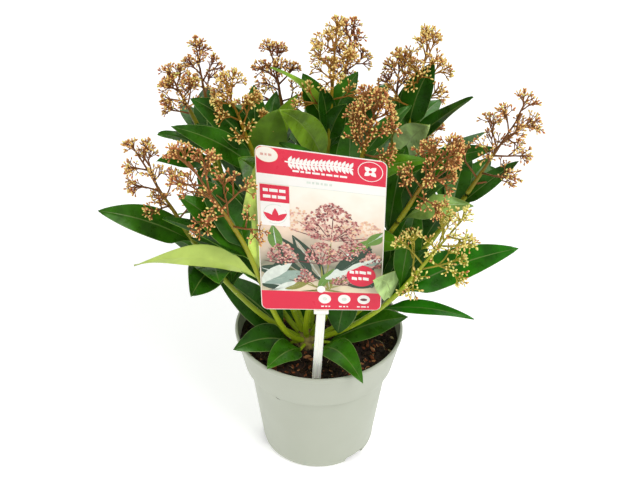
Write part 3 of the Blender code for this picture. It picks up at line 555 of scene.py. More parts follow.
# The twisted card: level outlines with round corners, and bands for its header, strip, picture and footer.
def makeCard():
    look = labelLook
    half, corner, edge, foot = look["thickness"] / 2, look["corner"], look["edge"], look["footer"]
    header = cardHeight - look["header"]
    strip = header - look["strip"]
    bands = [0, edge, foot, strip, header, cardHeight - edge, cardHeight]
    arc = corner * (1 - np.cos(np.linspace(0, np.pi / 2, 7)))
    levels = np.concatenate([bands, arc, cardHeight - arc, np.linspace(0, cardHeight, 40)])
    levels = np.unique(levels.round(6))
    intoCorner = np.clip(np.maximum(corner - levels, levels - (cardHeight - corner)), 0, corner)
    reach = cardWidth / 2 - corner + np.sqrt(np.maximum(corner ** 2 - intoCorner ** 2, 0))
    inner = 1 - 2 * edge / cardWidth
    across = np.concatenate([[-1], np.linspace(-inner, inner, 21), [1]])
    x = reach[:, None] * np.concatenate([across, across[::-1]])
    lift = np.repeat([half, -half], len(across)) + 0 * x
    rings = cardPoint(x, levels[:, None] + 0 * x, lift)[None]
    middle = (levels[1:] + levels[:-1]) / 2
    band = np.select([middle < top for top in bands[1:6]], [0, 1, 2, 3, 1], 0)
    table = np.zeros((len(levels) - 1, len(across) * 2), int)
    table[:, 1:len(across) - 2] = band[:, None]
    table[:, len(across):] = 3
    flat = np.stack([x / cardWidth, levels[:, None] / cardHeight + 0 * x], -1)
    bundle = Bundle()
    bundle.skin(rings, table, flat=flat[None])
    paper = {"patch": 30, "grain": 4000, "relief": 0.003 * mm, "coat": 0.06, "spread": 0.03, "shine": 0.25}
    cream = finish("cardCream", look["cream"], 1.03, 0.32, **paper)
    crimson = finish("cardCrimson", look["crimson"], 1.08, 0.30, **paper)
    picture = finish("cardPicture", None, None, 0.32, stops=pictureStops, push=0.35, **dict(paper, patch=45))
    white = finish("cardWhite", look["white"], 1.03, 0.32, **paper)
    bundle.make("labelCard", [cream, crimson, picture, white], "label_print", ["label_card"], sharp=40)
    makePrint(crimson, white, cream)


# A flat printed shape on the card's front from its outline (n, 2), as a thin closed skin.
def inkPatch(bundle, outline, level, tone):
    outline = np.asarray(outline)
    lifts = labelLook["thickness"] / 2 + labelLook["ink"] * (level + np.array([-0.5, 0.5]))
    rings = np.stack([cardPoint(outline[:, 0], outline[:, 1], lift) for lift in lifts])[None]
    bundle.skin(rings, tone)


# Points (u, v) turned about the origin and moved to x, z.
def turnedTo(x, z, u, v, turn):
    cos, sin = math.cos(turn), math.sin(turn)
    return np.stack([x + u * cos - v * sin, z + u * sin + v * cos], -1)


# The outline of a disc or an oval.
def disc(x, z, radius, sides=20, squash=1.0, turn=0.0):
    a = evenTurns(sides)
    return turnedTo(x, z, radius * np.cos(a), radius * squash * np.sin(a), turn)


# A leaf outline with its root at x, z: two mirrored sine bows.
def leafPatch(x, z, length, width, turn):
    t = np.linspace(0.02, 0.98, 9)
    bow = width / 2 * np.sin(np.pi * t ** 0.85)
    u = np.concatenate([t, t[::-1]]) * length
    v = np.concatenate([bow, -bow[::-1]])
    return turnedTo(x, z, u, v, turn)


# A row of small bars in place of words: their widths in mm, with even gaps.
def barRow(put, x, z, widths, height, level, tone, slope=0.0):
    for width in widths:
        corners = np.array([(0, 0), (width, 0), (width, height), (0, height)]) * mm + (x, z)
        put(corners + np.stack([0 * corners[:, 0], (corners[:, 0] - x) * slope], -1), level, tone)
        x += (width + 0.9) * mm


# Header: a cream oval, a white sprig over a row of bars, and a blossom in a ring.
def printHeader(put, top, strip):
    half, middle = cardWidth / 2, top - labelLook["header"] * 0.46
    for radius, level, tone in ((7.4, 1, "sand"), (7.1, 1.4, "cream")):
        put(disc(7.6 * mm - half, top - 6 * mm, radius * mm, 30, 0.78, -0.1), level, tone)
    barRow(put, 3.4 * mm - half, top - 6.8 * mm, (2.0, 1.4, 2.2), 1.7, 1.8, "blush", -0.1)
    t = np.linspace(-1, 1, 19)
    stalk = np.stack([t * 22 * mm - 1 * mm, middle + 0.9 * mm * np.sin(3 * t)], -1)
    put(np.concatenate([stalk + (0, 0.45 * mm), stalk[::-1] - (0, 0.45 * mm)]), 1, "white")
    for k, (x, z) in enumerate(stalk[1:-1]):
        for side in (1, -1):
            put(leafPatch(x, z, (5.6 - 0.9 * (k % 2)) * mm, 2.2 * mm, side * math.radians(66)), 1.5, "white")
    barRow(put, -18 * mm, middle - 7.4 * mm, (4.2, 2.4, 3.4, 5, 2.2, 4, 3, 4.6), 1.5, 1, "white")
    blossom = (half - 10.5 * mm, middle)
    for radius, level, tone in ((8, 1, "white"), (7.5, 1.4, "crimson")):
        put(disc(*blossom, radius * mm, 30), level, tone)
    for k in range(4):
        put(leafPatch(*blossom, 5.2 * mm, 3.4 * mm, math.radians(45 + 90 * k)), 2, "white")
    put(disc(*blossom, 1.1 * mm, 10), 3, "crimson")
    barRow(put, -9 * mm, strip + 3.4 * mm, (2.6, 1.6, 2.2, 1.4, 2.4, 1.8), 1.7, 1, "mist")
    line = half - 1 * mm
    put([(-line, strip), (line, strip), (line, strip + 0.25 * mm), (-line, strip + 0.25 * mm)], 1, "mist")


# Tile, seal and footer marks: plain shapes with a sprig, bars and discs.
def printMarks(put, foot, strip):
    left = -cardWidth / 2 + 2.2 * mm
    barRow(put, left, strip - 14 * mm, (19.4,), 13.4, 4, "crimson")
    barRow(put, left, strip - 33 * mm, (19.4,), 19, 4, "white")
    barRow(put, left + 2 * mm, strip - 6 * mm, (3.4, 5.6, 4.2), 2.4, 5, "white")
    barRow(put, left + 2 * mm, strip - 11 * mm, (5, 3, 5.2), 2.4, 5, "white")
    centre = (left + 9.7 * mm, strip - 23.6 * mm)
    for radius, level, tone in ((8, 4.4, "mist"), (7.6, 4.8, "white")):
        put(disc(*centre, radius * mm, 28), level, tone)
    for turn in (40, 90, 140):
        sprig = leafPatch(centre[0], centre[1] - 5.5 * mm, 10.5 * mm, 4.4 * mm, math.radians(turn))
        put(sprig, 5.4, "crimson")
    seal = (cardWidth / 2 - 14.5 * mm, foot + 16.5 * mm)
    put(disc(*seal, 10 * mm, 30), 4, "crimson")
    barRow(put, seal[0] - 8 * mm, seal[1] + 2.2 * mm, (3, 2, 4.4, 2.6), 2.6, 5, "white", -0.16)
    barRow(put, seal[0] - 6.4 * mm, seal[1] - 3.6 * mm, (3.6, 2.2, 4), 2.6, 5, "white", -0.16)
    for k, (mark, squash, tone) in enumerate(((1.6, 1.0, "mist"), (1.9, 0.8, "mist"), (2.5, 0.5, "wine"))):
        x = (0.53 + 0.162 * k - 0.5) * cardWidth
        put(disc(x, foot * 0.62, 4.4 * mm, 24), 1, "white")
        put(disc(x, foot * 0.62, mark * mm, 12, squash), 2, tone)
        barRow(put, x - (2.6 + k) * mm, foot * 0.17, (2, 1.4 + 2 * (k == 2), 1.2), 1.1, 1, "white")


# A posy of buds on thin dark branches among leaves, kept inside the picture.
def printPosy(put, foot, strip):
    draw = np.random.default_rng(seeds["posy"])
    low, high = (-cardWidth / 2 + 1 * mm, foot + 0.3 * mm), (cardWidth / 2 - 1 * mm, strip - 0.3 * mm)

    def inside(outline, level, tone):
        put(np.clip(outline, low, high), level, tone)

    for k, (x, z, length, width, turn, tone) in enumerate(posyLeaves):
        level, turn = 1 + 0.06 * k, math.radians(turn)
        inside(leafPatch(x * mm, z * mm, length * mm, width * mm, turn), level, tone)
        inside(leafPatch(x * mm, z * mm, length * 0.96 * mm, width * 0.07 * mm, turn), level + 0.05, "mist")
    for x, z, radius, count, stand in posyHeads:
        root, reach = np.array([x, z - radius * 0.9]) * mm, radius * mm
        twigs = 9 if stand == "near" else 0
        if twigs:
            inside(leafPatch(*root, 30 * mm, 1.6 * mm, math.atan2(26 - z, 2 - x)), 2, "olive")
        for turn in np.radians(np.linspace(12, 168, twigs)) + draw.uniform(-0.12, 0.12, twigs):
            inside(leafPatch(*root, reach * draw.uniform(1.2, 1.75), 0.7 * mm, turn), 2.2, "wine")
        far = reach * np.sqrt(draw.uniform(0.02, 1, count))
        turn = draw.uniform(0, 2 * np.pi, count)
        rise = far * np.sin(turn)
        places = np.stack([x * mm + far * np.cos(turn) * (1 - 0.4 * rise / reach), z * mm + rise * 0.9], -1)
        sizes = draw.uniform(0.5, 1.0, count) * mm
        mix = posyMixes[stand]
        tones = draw.choice(list(mix), count, p=list(mix.values()))
        held = np.all((places > np.array(low) + 1 * mm) & (places < np.array(high) - 1 * mm), 1)
        for k in np.flatnonzero(held):
            put(disc(*places[k], sizes[k], 7), 2.4 + 0.4 * (k % 3) if twigs else 0.7, tones[k])


# The generic print on the card's front.
def makePrint(crimson, white, cream):
    inks = {"crimson": crimson, "white": white, "cream": cream}
    for tone, colour in inkTones.items():
        inks[tone] = finish("ink" + tone.title(), colour, 1.15, 0.33, patch=300, coat=0.06, shine=0.25)
    order = list(inks)
    patches = Bundle()

    def put(outline, level, tone):
        inkPatch(patches, outline, level, order.index(tone))

    foot, strip = labelLook["footer"], cardHeight - labelLook["header"] - labelLook["strip"]
    printHeader(put, cardHeight, strip)
    printPosy(put, foot, strip)
    printMarks(put, foot, strip)
    patches.make("labelPrint", [inks[tone] for tone in order], "label_print", sharp=40)


inkTones = {"pine": (0.030, 0.060, 0.036), "sage": (0.27, 0.36, 0.30), "grass": (0.13, 0.25, 0.045),
            "rose": (0.40, 0.13, 0.12), "blush": (0.66, 0.36, 0.30), "wine": (0.15, 0.040, 0.045),
            "sand": (0.78, 0.52, 0.34), "mist": (0.64, 0.69, 0.61), "olive": (0.24, 0.24, 0.055)}
# Picture colours at shares of the card's height
pictureStops = [(0.13, (0.78, 0.66, 0.46)), (0.20, (0.50, 0.44, 0.30)), (0.30, (0.22, 0.22, 0.15)),
                (0.44, (0.62, 0.50, 0.38)), (0.56, (0.86, 0.68, 0.52)), (0.78, (0.93, 0.89, 0.78))]
# x, z, length, width in mm from the card's foot and middle, turn in degrees, and tone
posyLeaves = [(30, 62, 20, 9, 40, "grass"), (-30, 52, 22, 10, 96, "grass"), (22, 46, 24, 13, 64, "grass"),
              (-6, 32, 44, 15, 128, "pine"), (2, 26, 46, 14, 118, "pine"), (8, 30, 40, 14, 48, "pine"),
              (-12, 30, 34, 13, 168, "pine"), (30, 30, 32, 12, 86, "pine"), (-34, 26, 26, 11, 62, "pine"),
              (18, 24, 28, 10, 12, "pine"), (-18, 21, 30, 10, 172, "pine"), (36, 22, 24, 9, 120, "pine"),
              (-8, 34, 38, 11, 196, "sage"), (4, 32, 40, 11, 22, "sage"), (-43, 23, 31, 10, 40, "mist"),
              (42, 48, 26, 9, 170, "mist"), (-16, 26, 26, 8, 214, "mist"), (1, 28, 42, 9, 31, "mist"),
              (-2, 20, 22, 7, 60, "grass"), (-26, 19, 20, 6, 20, "olive"), (6, 19, 18, 6, 96, "olive")]
# x, z, radius in mm, the number of buds, and whether the head stands near or far
posyHeads = [(-15, 79, 11, 120, "far"), (31, 74, 10, 110, "far"), (7, 79, 18, 480, "near"),
             (22, 56, 11, 200, "near"), (-26, 50, 10, 170, "near"), (0, 52, 11, 190, "near"),
             (35, 48, 8, 100, "near"), (-12, 31, 7, 70, "near"), (14, 30, 7, 70, "near")]
posyMixes = {"near": {"rose": 0.42, "blush": 0.34, "wine": 0.14, "sand": 0.10},
             "far": {"blush": 0.30, "sand": 0.70}}

stickLook = {"width": 6.4 * mm, "thickness": 1.6 * mm, "ribs": 3, "rib": 0.28 * mm, "barHeight": 3 * mm,
             "barWidth": 10.6 * mm, "barDepth": 3.2 * mm, "tongue": 24 * mm, "tongueThickness": 1 * mm,
             "lean": 3 * mm, "gap": 0.3 * mm, "square": 0.35, "pinHeight": 20 * mm,
             "pinRadius": 1.6 * mm, "pinHead": 2.9 * mm, "colour": (0.90, 0.91, 0.82)}


# An upright bar with round long edges, a power of a circle, and slightly chamfered ends.
def roundedBar(bundle, width, depth, low, high, y):
    a = evenTurns(32)
    outline = np.stack([np.sign(np.cos(a)) * np.abs(np.cos(a)) ** stickLook["square"] * width / 2,
                        np.sign(np.sin(a)) * np.abs(np.sin(a)) ** stickLook["square"] * depth / 2], -1)
    levels = np.array([low, low + 0.25 * mm, high - 0.25 * mm, high])
    inset = np.array([0.9, 1, 1, 0.9])
    rings = np.zeros((1, 4, 32, 3))
    rings[0, ..., :2] = outline * inset[:, None, None] + (cardMiddle, y)
    rings[0, ..., 2] = levels[:, None]
    bundle.skin(rings)


# A ribbed white blade, its cross bar, and the tongue and round pin that hold the card.
def makeStick():
    look, bundle = stickLook, Bundle()
    barTop = cardLow.z - look["gap"]
    x = np.linspace(-1, 1, 41)
    grooves = look["rib"] * (0.5 + 0.5 * np.cos(2 * np.pi * look["ribs"] * (x + 1) / 2))
    front = -look["thickness"] / 2 + grooves * (np.abs(x) < 0.92)
    side = x * look["width"] / 2
    outline = np.concatenate([np.stack([side, front], -1), np.stack([side[::-1], -front], -1)])
    levels = np.array([stickLow.z, stickLow.z + 0.4 * mm, barTop - look["barHeight"] / 2])
    inset = np.array([0.85, 1, 1])
    rings = np.zeros((1, 3, len(outline), 3))
    rings[0, ..., :2] = outline * inset[:, None, None] + (cardMiddle, cardBack)
    rings[0, ..., 0] += (look["lean"] * (levels - cardLow.z) / (cardLow.z - soilHigh.z))[:, None]
    rings[0, ..., 2] = levels[:, None]
    bundle.skin(rings)
    roundedBar(bundle, look["barWidth"], look["barDepth"], barTop - look["barHeight"], barTop, cardBack)
    tongue = look["tongueThickness"]
    back = cardBack + labelLook["thickness"] / 2 + look["gap"] + tongue / 2
    roundedBar(bundle, look["width"], tongue, barTop - 1.5 * mm, cardLow.z + look["tongue"], back)
    front = cardPoint(np.array(0.0), np.array(look["pinHeight"]), labelLook["thickness"] / 2)[1]
    tip, radius, cap = stickLow.y, look["pinRadius"], look["pinHead"]
    profile = [(0.2 * mm, back), (radius, back), (radius, front - 0.35 * mm), (cap, front - 0.35 * mm),
               (cap, tip + 0.35 * mm), (cap * 0.7, tip), (0.2 * mm, tip - 0.05 * mm)]
    pin = turnedRings(filleted(profile, 0.3 * mm, 4), 28)
    across = cardMiddle - labelLook["lean"] * look["pinHeight"] / cardHeight
    height = pin[..., 1] + cardLow.z + look["pinHeight"]
    bundle.skin(np.stack([pin[..., 0] + across, pin[..., 2], height], -1))
    white = finish("stickWhite", look["colour"], 1.04, 0.38, patch=40, grain=3000, relief=0.004 * mm,
                   translucent=0.1)
    bundle.make("labelStick", [white], "label_stick", ["label_stick"], sharp=40)


# Plant

crownLook = {"radius": 9.5 * mm, "flare": 11.5 * mm, "lift": 2.5 * mm, "rings": 22, "around": 48,
             "relief": 0.9 * mm, "knobs": ((420, 8, 0.7), (1300, 9, 0.4)), "colour": (0.38, 0.30, 0.08),
             "drift": (0.09, 0.055, 0.018)}
crownCentre = np.array([(crownLow.x + crownHigh.x) / 2, (crownLow.y + crownHigh.y) / 2,
                        crownLow.z + crownLook["lift"]])

stemLook = {"foot": 2.2 * mm, "top": 1.65 * mm, "tip": 0.6 * mm, "around": 14, "steps": 56, "axisSteps": 30,
            "scar": 0.75 * mm, "scars": 7, "gap": 0.3 * mm,
            "root": 0.55, "leave": 0.25, "arrive": 0.33, "fork": (0.62, 0.72), "forkReach": 0.35,
            "forkThin": 0.95, "taper": 1.6, "sway": 0.5 * mm, "relief": 0.09 * mm, "uneven": 0.05,
            "twig": (1.5, 1.1), "scarSpan": (0.06, 0.62),
            "scarColours": ((0.55, 0.52, 0.26), (0.66, 0.62, 0.36))}
# Colours along a stem for each tone of flower head: its foot, its last third, and the head's axis
stemTones = {"rose": [(0.0, (0.33, 0.46, 0.012)), (0.42, (0.29, 0.31, 0.008)), (0.58, (0.27, 0.18, 0.010)),
                      (0.78, (0.25, 0.085, 0.018))],
             "tan": [(0.0, (0.33, 0.46, 0.012)), (0.42, (0.21, 0.24, 0.008)), (0.6, (0.22, 0.16, 0.010)),
                     (0.8, (0.20, 0.075, 0.016))],
             "gold": [(0.0, (0.33, 0.46, 0.012)), (0.42, (0.29, 0.30, 0.008)), (0.66, (0.33, 0.21, 0.010)),
                      (0.9, (0.30, 0.13, 0.014))],
             "brown": [(0.0, (0.33, 0.44, 0.012)), (0.35, (0.21, 0.19, 0.008)), (0.55, (0.18, 0.090, 0.012)),
                       (0.8, (0.16, 0.052, 0.014))],
             "green": [(0.0, (0.33, 0.46, 0.012)), (0.5, (0.30, 0.38, 0.012)), (0.8, (0.37, 0.39, 0.018)),
                       (1.0, (0.42, 0.34, 0.025))]}

# Each fan is its number of twigs, their splay in degrees and their reach
headLook = {"spread": (0.88, 1.08), "openLow": 62, "openTop": 36, "bend": 12, "prongSplay": 32,
            "prongShare": 0.4, "prongLength": 0.56, "thirdTurn": 130, "thirdSplay": 1.2, "thirdShare": 0.58,
            "thirdLength": 0.42, "low": 0.08, "high": 0.84, "top": 0.9, "loss": 0.42, "match": 0.1 * mm,
            "twig": 0.66 * mm, "stalk": 0.42 * mm, "pedicel": 0.32 * mm, "bud": (1.85 * mm, 2.7 * mm),
            "slim": 0.54, "back": 7.4 * mm, "backShare": 0.9, "sideShare": 0.62, "topFan": (4, 42, 4.9 * mm),
            "sideFan": (1, 62, 4.9 * mm), "pedicelFan": (3, 42, 1.6 * mm), "fanSpread": 0.35, "fanLead": 0.35,
            "fanLengths": (0.72, 1.2), "rods": ((1.15, 6, 0.03), (1, 5, 0.05), (0.9, 5, 0.05)),
            "bands": {"rose": (0, 0, 1), "russet": (0, 0, 1), "ochre": (0, 1, 1), "lime": (0, 1, 1)}}

leafLook = {"thickness": 0.45 * mm, "fold": 0.22, "belly": 0.85, "fullness": 0.8, "rows": 20,
            "shifts": (0, 10, -10, 20, -20), "lifts": (0, 8, -8), "jitter": 8, "slenderness": 3.4,
            "lengths": (0.88, 1.08), "arches": (0.05, 0.14), "roll": 15, "match": 0.06 * mm, "deepShare": 0.4,
            "rowEase": 0.92, "neck": 0.03, "neckLength": 0.25, "neckWidth": 0.10, "stalkHalf": 0.35 * mm,
            "edgeHalf": 0.12 * mm, "wave": (0.4, 1.3), "waveTurns": 9, "waveShift": 1.4, "groove": 0.25 * mm,
            "grooveWidth": 0.09, "stalkRound": 0.75 * mm, "stalkFade": 0.06, "rib": 0.35 * mm,
            "ribWidth": 0.07, "veinStep": 0.62, "veinSweep": 0.7, "veinNarrow": 3, "veinRelief": 0.05 * mm,
            "sheen": (0.62, 1.0, 0.45), "under": ((0.095, 0.190, 0.012), 1.7),
            "paleTones": ("light", "lime", "pale"), "paleUnder": ((0.40, 0.52, 0.10), 1.2),
            "ribGreen": (0.36, 0.48, 0.12), "edgeGreen": (0.40, 0.52, 0.15)}


# A leaf at a share of its stem; the heading and rise of its tip in degrees, sizes in mm.
def leaf(along, azimuth, rise, length, width, arch=0.08, roll=0, tone="dark"):
    return {"along": along, "azimuth": azimuth, "rise": rise, "length": length * mm, "width": width * mm,
            "arch": arch, "roll": roll, "tone": tone}


# A ring of leaves at a share of its stem; its headings run from first to last.
def whorl(along, count, rise, length, first, last):
    return {"along": along, "count": count, "rise": rise, "length": length * mm, "first": first, "last": last}


# A flower head from its lowest spray to its tip in mm, and the colour of its buds.
def head(base, tip, reach, sprays, start=0, tone="tan"):
    return {"base": np.array(base) * mm, "tip": np.array(tip) * mm, "reach": reach * mm, "sprays": sprays,
            "start": start, "tone": tone}


# Each shoot is a stem from the crown, with the leaves and flower heads at its end
shoots = {
    "far_left": {
        "foot": (192, 32), "seed": 1,
        "heads": [head((-97, -22, 218), (-125, -22, 278), 30, 9, 310, "tan")],
        "leaves": [leaf(0.88, 195, 30, 74, 22, 0.06, 48), leaf(0.70, 256, 11, 48, 26, 0.08, 30),
                   leaf(0.72, 284, 16, 38, 28, 0.12, 0)],
        "whorls": [whorl(0.82, 2, 25, 62, 50, 85), whorl(0.55, 3, 20, 60, 60, 130)]},
    "front_left": {
        "foot": (230, 32), "seed": 2,
        "heads": [head((-56, -57, 237), (-82, -76, 302), 38, 10, 280, "rose")],
        "leaves": [leaf(0.66, 197, 19, 91, 20, 0.14, -75, "lime"),
                   leaf(0.70, 84, 87, 87, 20, 0.02, -10, "lime"),
                   leaf(0.79, 192, 36, 72, 20, 0.05, 5), leaf(0.84, 171, 60, 66, 22, 0.06, 55),
                   leaf(0.78, 177, 47, 72, 24, 0.06, 30), leaf(0.88, 134, 63, 52, 17, 0.05, 40)],
        "whorls": [whorl(0.6, 2, 25, 60, 100, 160)]},
    "left_back": {
        "foot": (150, 32), "seed": 3,
        "heads": [head((-92, 34, 274), (-104, 34, 303), 27, 8, 120, "tan"),
                  head((-86, 72, 264), (-92, 80, 301), 26, 7, 270, "brown")],
        "leaves": [leaf(0.85, 209, 32, 45, 15, 0.05, 15), leaf(0.80, 217, 20, 50, 16, 0.06, 40)],
        "whorls": [whorl(0.86, 3, 2, 60, 50, 110), whorl(0.62, 3, 14, 60, 60, 120)]},
    "mid_left": {
        "foot": (166, 62), "seed": 4,
        "heads": [head((-49, 2, 268), (-63, -4, 316), 29, 9, 330, "gold"),
                  head((-28, 46, 273), (-34, 50, 312), 28, 8, 140, "brown")],
        "leaves": [leaf(0.96, 198, 50, 65, 23, 0.08, 62), leaf(0.86, 215, 41, 88, 18, 0.06, 70),
                   leaf(0.92, 94, 70, 54, 20, 0.05, 0), leaf(0.84, 70, 59, 62, 20, 0.05, -15),
                   leaf(0.72, 244, 56, 67, 22, 0.08, 115, "mid"),
                   leaf(0.80, 311, 75, 70, 29, 0.06, 40, "mid"),
                   leaf(0.84, 13, 65, 67, 16, 0.06, -60, "light")],
        "whorls": [whorl(0.85, 3, 26, 58, 60, 150), whorl(0.6, 4, 25, 70, 90, 240)]},
    "top": {
        "foot": (85, 62), "seed": 5,
        "heads": [head((6, 14, 284), (9, 12, 346), 31, 10, 20, "gold"),
                  head((15, 60, 282), (21, 70, 326), 25, 7, 40, "brown")],
        "leaves": [leaf(0.78, 233, 53, 85, 21, 0.08, 100, "light"),
                   leaf(0.93, 186, 53, 67, 9, 0.14, 25, "light"),
                   leaf(0.93, 148, 62, 47, 20, 0.05, 45), leaf(0.97, 27, 60, 43, 17, 0.05, -45),
                   leaf(0.90, 313, 65, 40, 16, 0.05, -110), leaf(0.92, 243, 73, 46, 16, 0.05, 110),
                   leaf(0.86, 30, 38, 65, 20, 0.05, -40)],
        "whorls": [whorl(0.7, 5, 35, 72, 20, 160)]},
    "right_top": {
        "foot": (22, 60), "seed": 6,
        "heads": [head((64, 24, 284), (72, 26, 336), 31, 9, 150, "gold"),
                  head((55, 68, 264), (57, 76, 296), 25, 7, 180, "brown")],
        "leaves": [leaf(0.93, 326, 74, 60, 21, 0.05, -100), leaf(0.90, 97, 73, 38, 20, 0.05, 10),
                   leaf(0.85, 333, 48, 73, 15, 0.02, -35), leaf(0.80, 295, 52, 63, 22, 0.06, -110, "pale"),
                   leaf(0.70, 3, 22, 82, 18, 0.06, -45)],
        "whorls": [whorl(0.9, 2, 14, 54, 60, 105), whorl(0.62, 4, 25, 70, 20, 120)]},
    "mid_right": {
        "foot": (254, 60), "seed": 7,
        "heads": [head((27, -32, 280), (35, -36, 321), 30, 10, 280, "rose")],
        "leaves": [leaf(1.0, 36, 34, 49, 13, 0.06, -20), leaf(0.80, 337, 39, 73, 16, 0.14, -55, "mid"),
                   leaf(0.75, 351, 54, 67, 20, 0.06, -60), leaf(0.62, 335, 12, 56, 20, 0.08, -50, "mid")],
        "whorls": [whorl(0.8, 4, 35, 62, 60, 180)]},
    "right": {
        "foot": (318, 64), "seed": 8,
        "heads": [head((60, -46, 254), (78, -54, 298), 32, 10, 100, "rose")],
        "leaves": [leaf(0.90, 10, 6, 52, 15, 0.10, -40, "sage"), leaf(0.92, 24, 58, 45, 14, 0.05, -40),
                   leaf(0.45, 242, -64, 37, 24, 0.05, 0)],
        "whorls": [whorl(0.8, 4, 35, 66, 20, 140)]},
    "far_right": {
        "foot": (0, 30), "seed": 9,
        "heads": [head((105, -6, 240), (134, -8, 302), 36, 11, 350, "tan")],
        "leaves": [leaf(0.90, 8, 41, 55, 12, 0.03, -45)],
        "whorls": [whorl(0.85, 4, 25, 66, 50, 150), whorl(0.6, 2, 20, 62, 60, 100)]},
    "low_right": {
        "foot": (324, 35), "seed": 10,
        "heads": [head((61, -57, 196), (88, -72, 253), 37, 10, 70, "green")],
        "leaves": [leaf(0.86, 0, 27, 91, 24, 0.06, -45, "fresh"), leaf(0.90, 66, 66, 69, 19, 0.05, -45),
                   leaf(0.78, 3, 61, 52, 18, 0.05, -45), leaf(0.68, 346, 4, 68, 11, 0.08, -20, "fresh"),
                   leaf(0.80, 236, 52, 41, 20, 0.16, 100, "pale")],
        "whorls": [whorl(0.75, 3, 35, 60, 20, 90)]},
    "back_left": {
        "foot": (115, 34), "seed": 11,
        "heads": [head((-58, 94, 198), (-68, 110, 238), 26, 5, 0, "tan")],
        "leaves": [],
        "whorls": [whorl(0.95, 6, 22, 72, 30, 260), whorl(0.72, 5, 10, 72, 20, 240)]},
    "back": {
        "foot": (80, 34), "seed": 12,
        "heads": [head((6, 100, 198), (8, 118, 240), 26, 5, 70, "brown")],
        "leaves": [],
        "whorls": [whorl(0.95, 6, 22, 72, -20, 200), whorl(0.72, 5, 10, 72, 0, 180)]},
    "back_right": {
        "foot": (45, 34), "seed": 13,
        "heads": [head((76, 84, 192), (86, 100, 232), 26, 5, 140, "tan")],
        "leaves": [],
        "whorls": [whorl(0.95, 5, 22, 72, -20, 150), whorl(0.72, 4, 10, 72, 20, 140)]},
}

# Short twigs low on the crown that carry leaves alone
lowTwigs = {
    "low_left": {"foot": (212, 14), "length": 8 * mm, "leaves": [leaf(1, 217, 20, 55, 22, 0.12, 40)]},
    "low_corner": {"foot": (250, 12), "length": 8 * mm, "leaves": [leaf(1, 234, 13, 42, 20, 0.12, 20)]},
    "low_front": {"foot": (296, 10), "length": 9 * mm, "leaves": [leaf(1, 305, 9, 58, 22, 0.22, -10)]},
    "low_side": {"foot": (340, 8), "length": 9 * mm, "leaves": [leaf(1, 6, 19, 64, 26, 0.08, -20)]},
    "low_inner": {"foot": (98, 8), "length": 8 * mm,
                  "leaves": [leaf(1, 123, 27, 37, 20, 0.06, 20), leaf(1, 95, 16, 33, 18, 0.06, 0)]},
    "low_behind": {"foot": (171, 8), "length": 8 * mm, "leaves": [leaf(1, 166, 40, 73, 27, 0.05, 55)]},
}


# A cubic curve from a to d, drawn towards b and then c.
def bezier(a, b, c, d, t):
    t = np.asarray(t, float)[..., None]
    u = 1 - t
    return a * u ** 3 + b * (3 * u * u * t) + c * (3 * u * t * t) + d * t ** 3


# Points at shares t of a shoot's stem, from the crown to its flower head's base.
def shootPath(shoot, t):
    out = heading(*shoot["foot"])
    start = crownCentre + out * (crownLook["radius"] + stemLook["gap"])
    leader = shoot["heads"][0]
    end = leader["base"]
    span = np.linalg.norm(end - start)
    arrival = unit(leader["tip"] - end)
    leave, arrive = stemLook["leave"], stemLook["arrive"]
    return bezier(start, start + out * span * leave, end - arrival * span * arrive, end, t)


# The side stem that leaves a shoot for its second flower head.
def forkPath(shoot, other, t):
    start, ahead = shootPath(shoot, stemLook["fork"])
    end, reach = other["base"], stemLook["forkReach"]
    arrival, span = unit(other["tip"] - end), np.linalg.norm(end - start)
    return bezier(start, start + unit(ahead - start) * span * reach, end - arrival * span * reach, end, t)


# The short woody stock: a dome over a flare, with knobs.
def makeCrown():
    look = crownLook
    rise = np.linspace(np.pi / 2, 0, look["rings"])[:-1]
    radius, lift = look["radius"], crownCentre[2]
    profile = [(max(radius * math.cos(a), 0.3 * mm), lift + radius * math.sin(a)) for a in rise]
    profile += [(radius * 1.02, lift), (look["flare"], crownLow.z - 0.2 * mm), (1 * mm, crownLow.z - 1 * mm)]
    rings = turnedRings(profile, look["around"], crownCentre[:2])
    outward = unit(rings - crownCentre)
    rings = rings + outward * (layered(rings, look["knobs"]) * look["relief"])[..., None]
    bundle = Bundle()
    bundle.skin(rings)
    bark = finish("crownBark", look["colour"], look["drift"], 0.75, patch=260, grain=1500, relief=0.35 * mm)
    bundle.make("crownKnob", [bark], "bark", ["crown"])


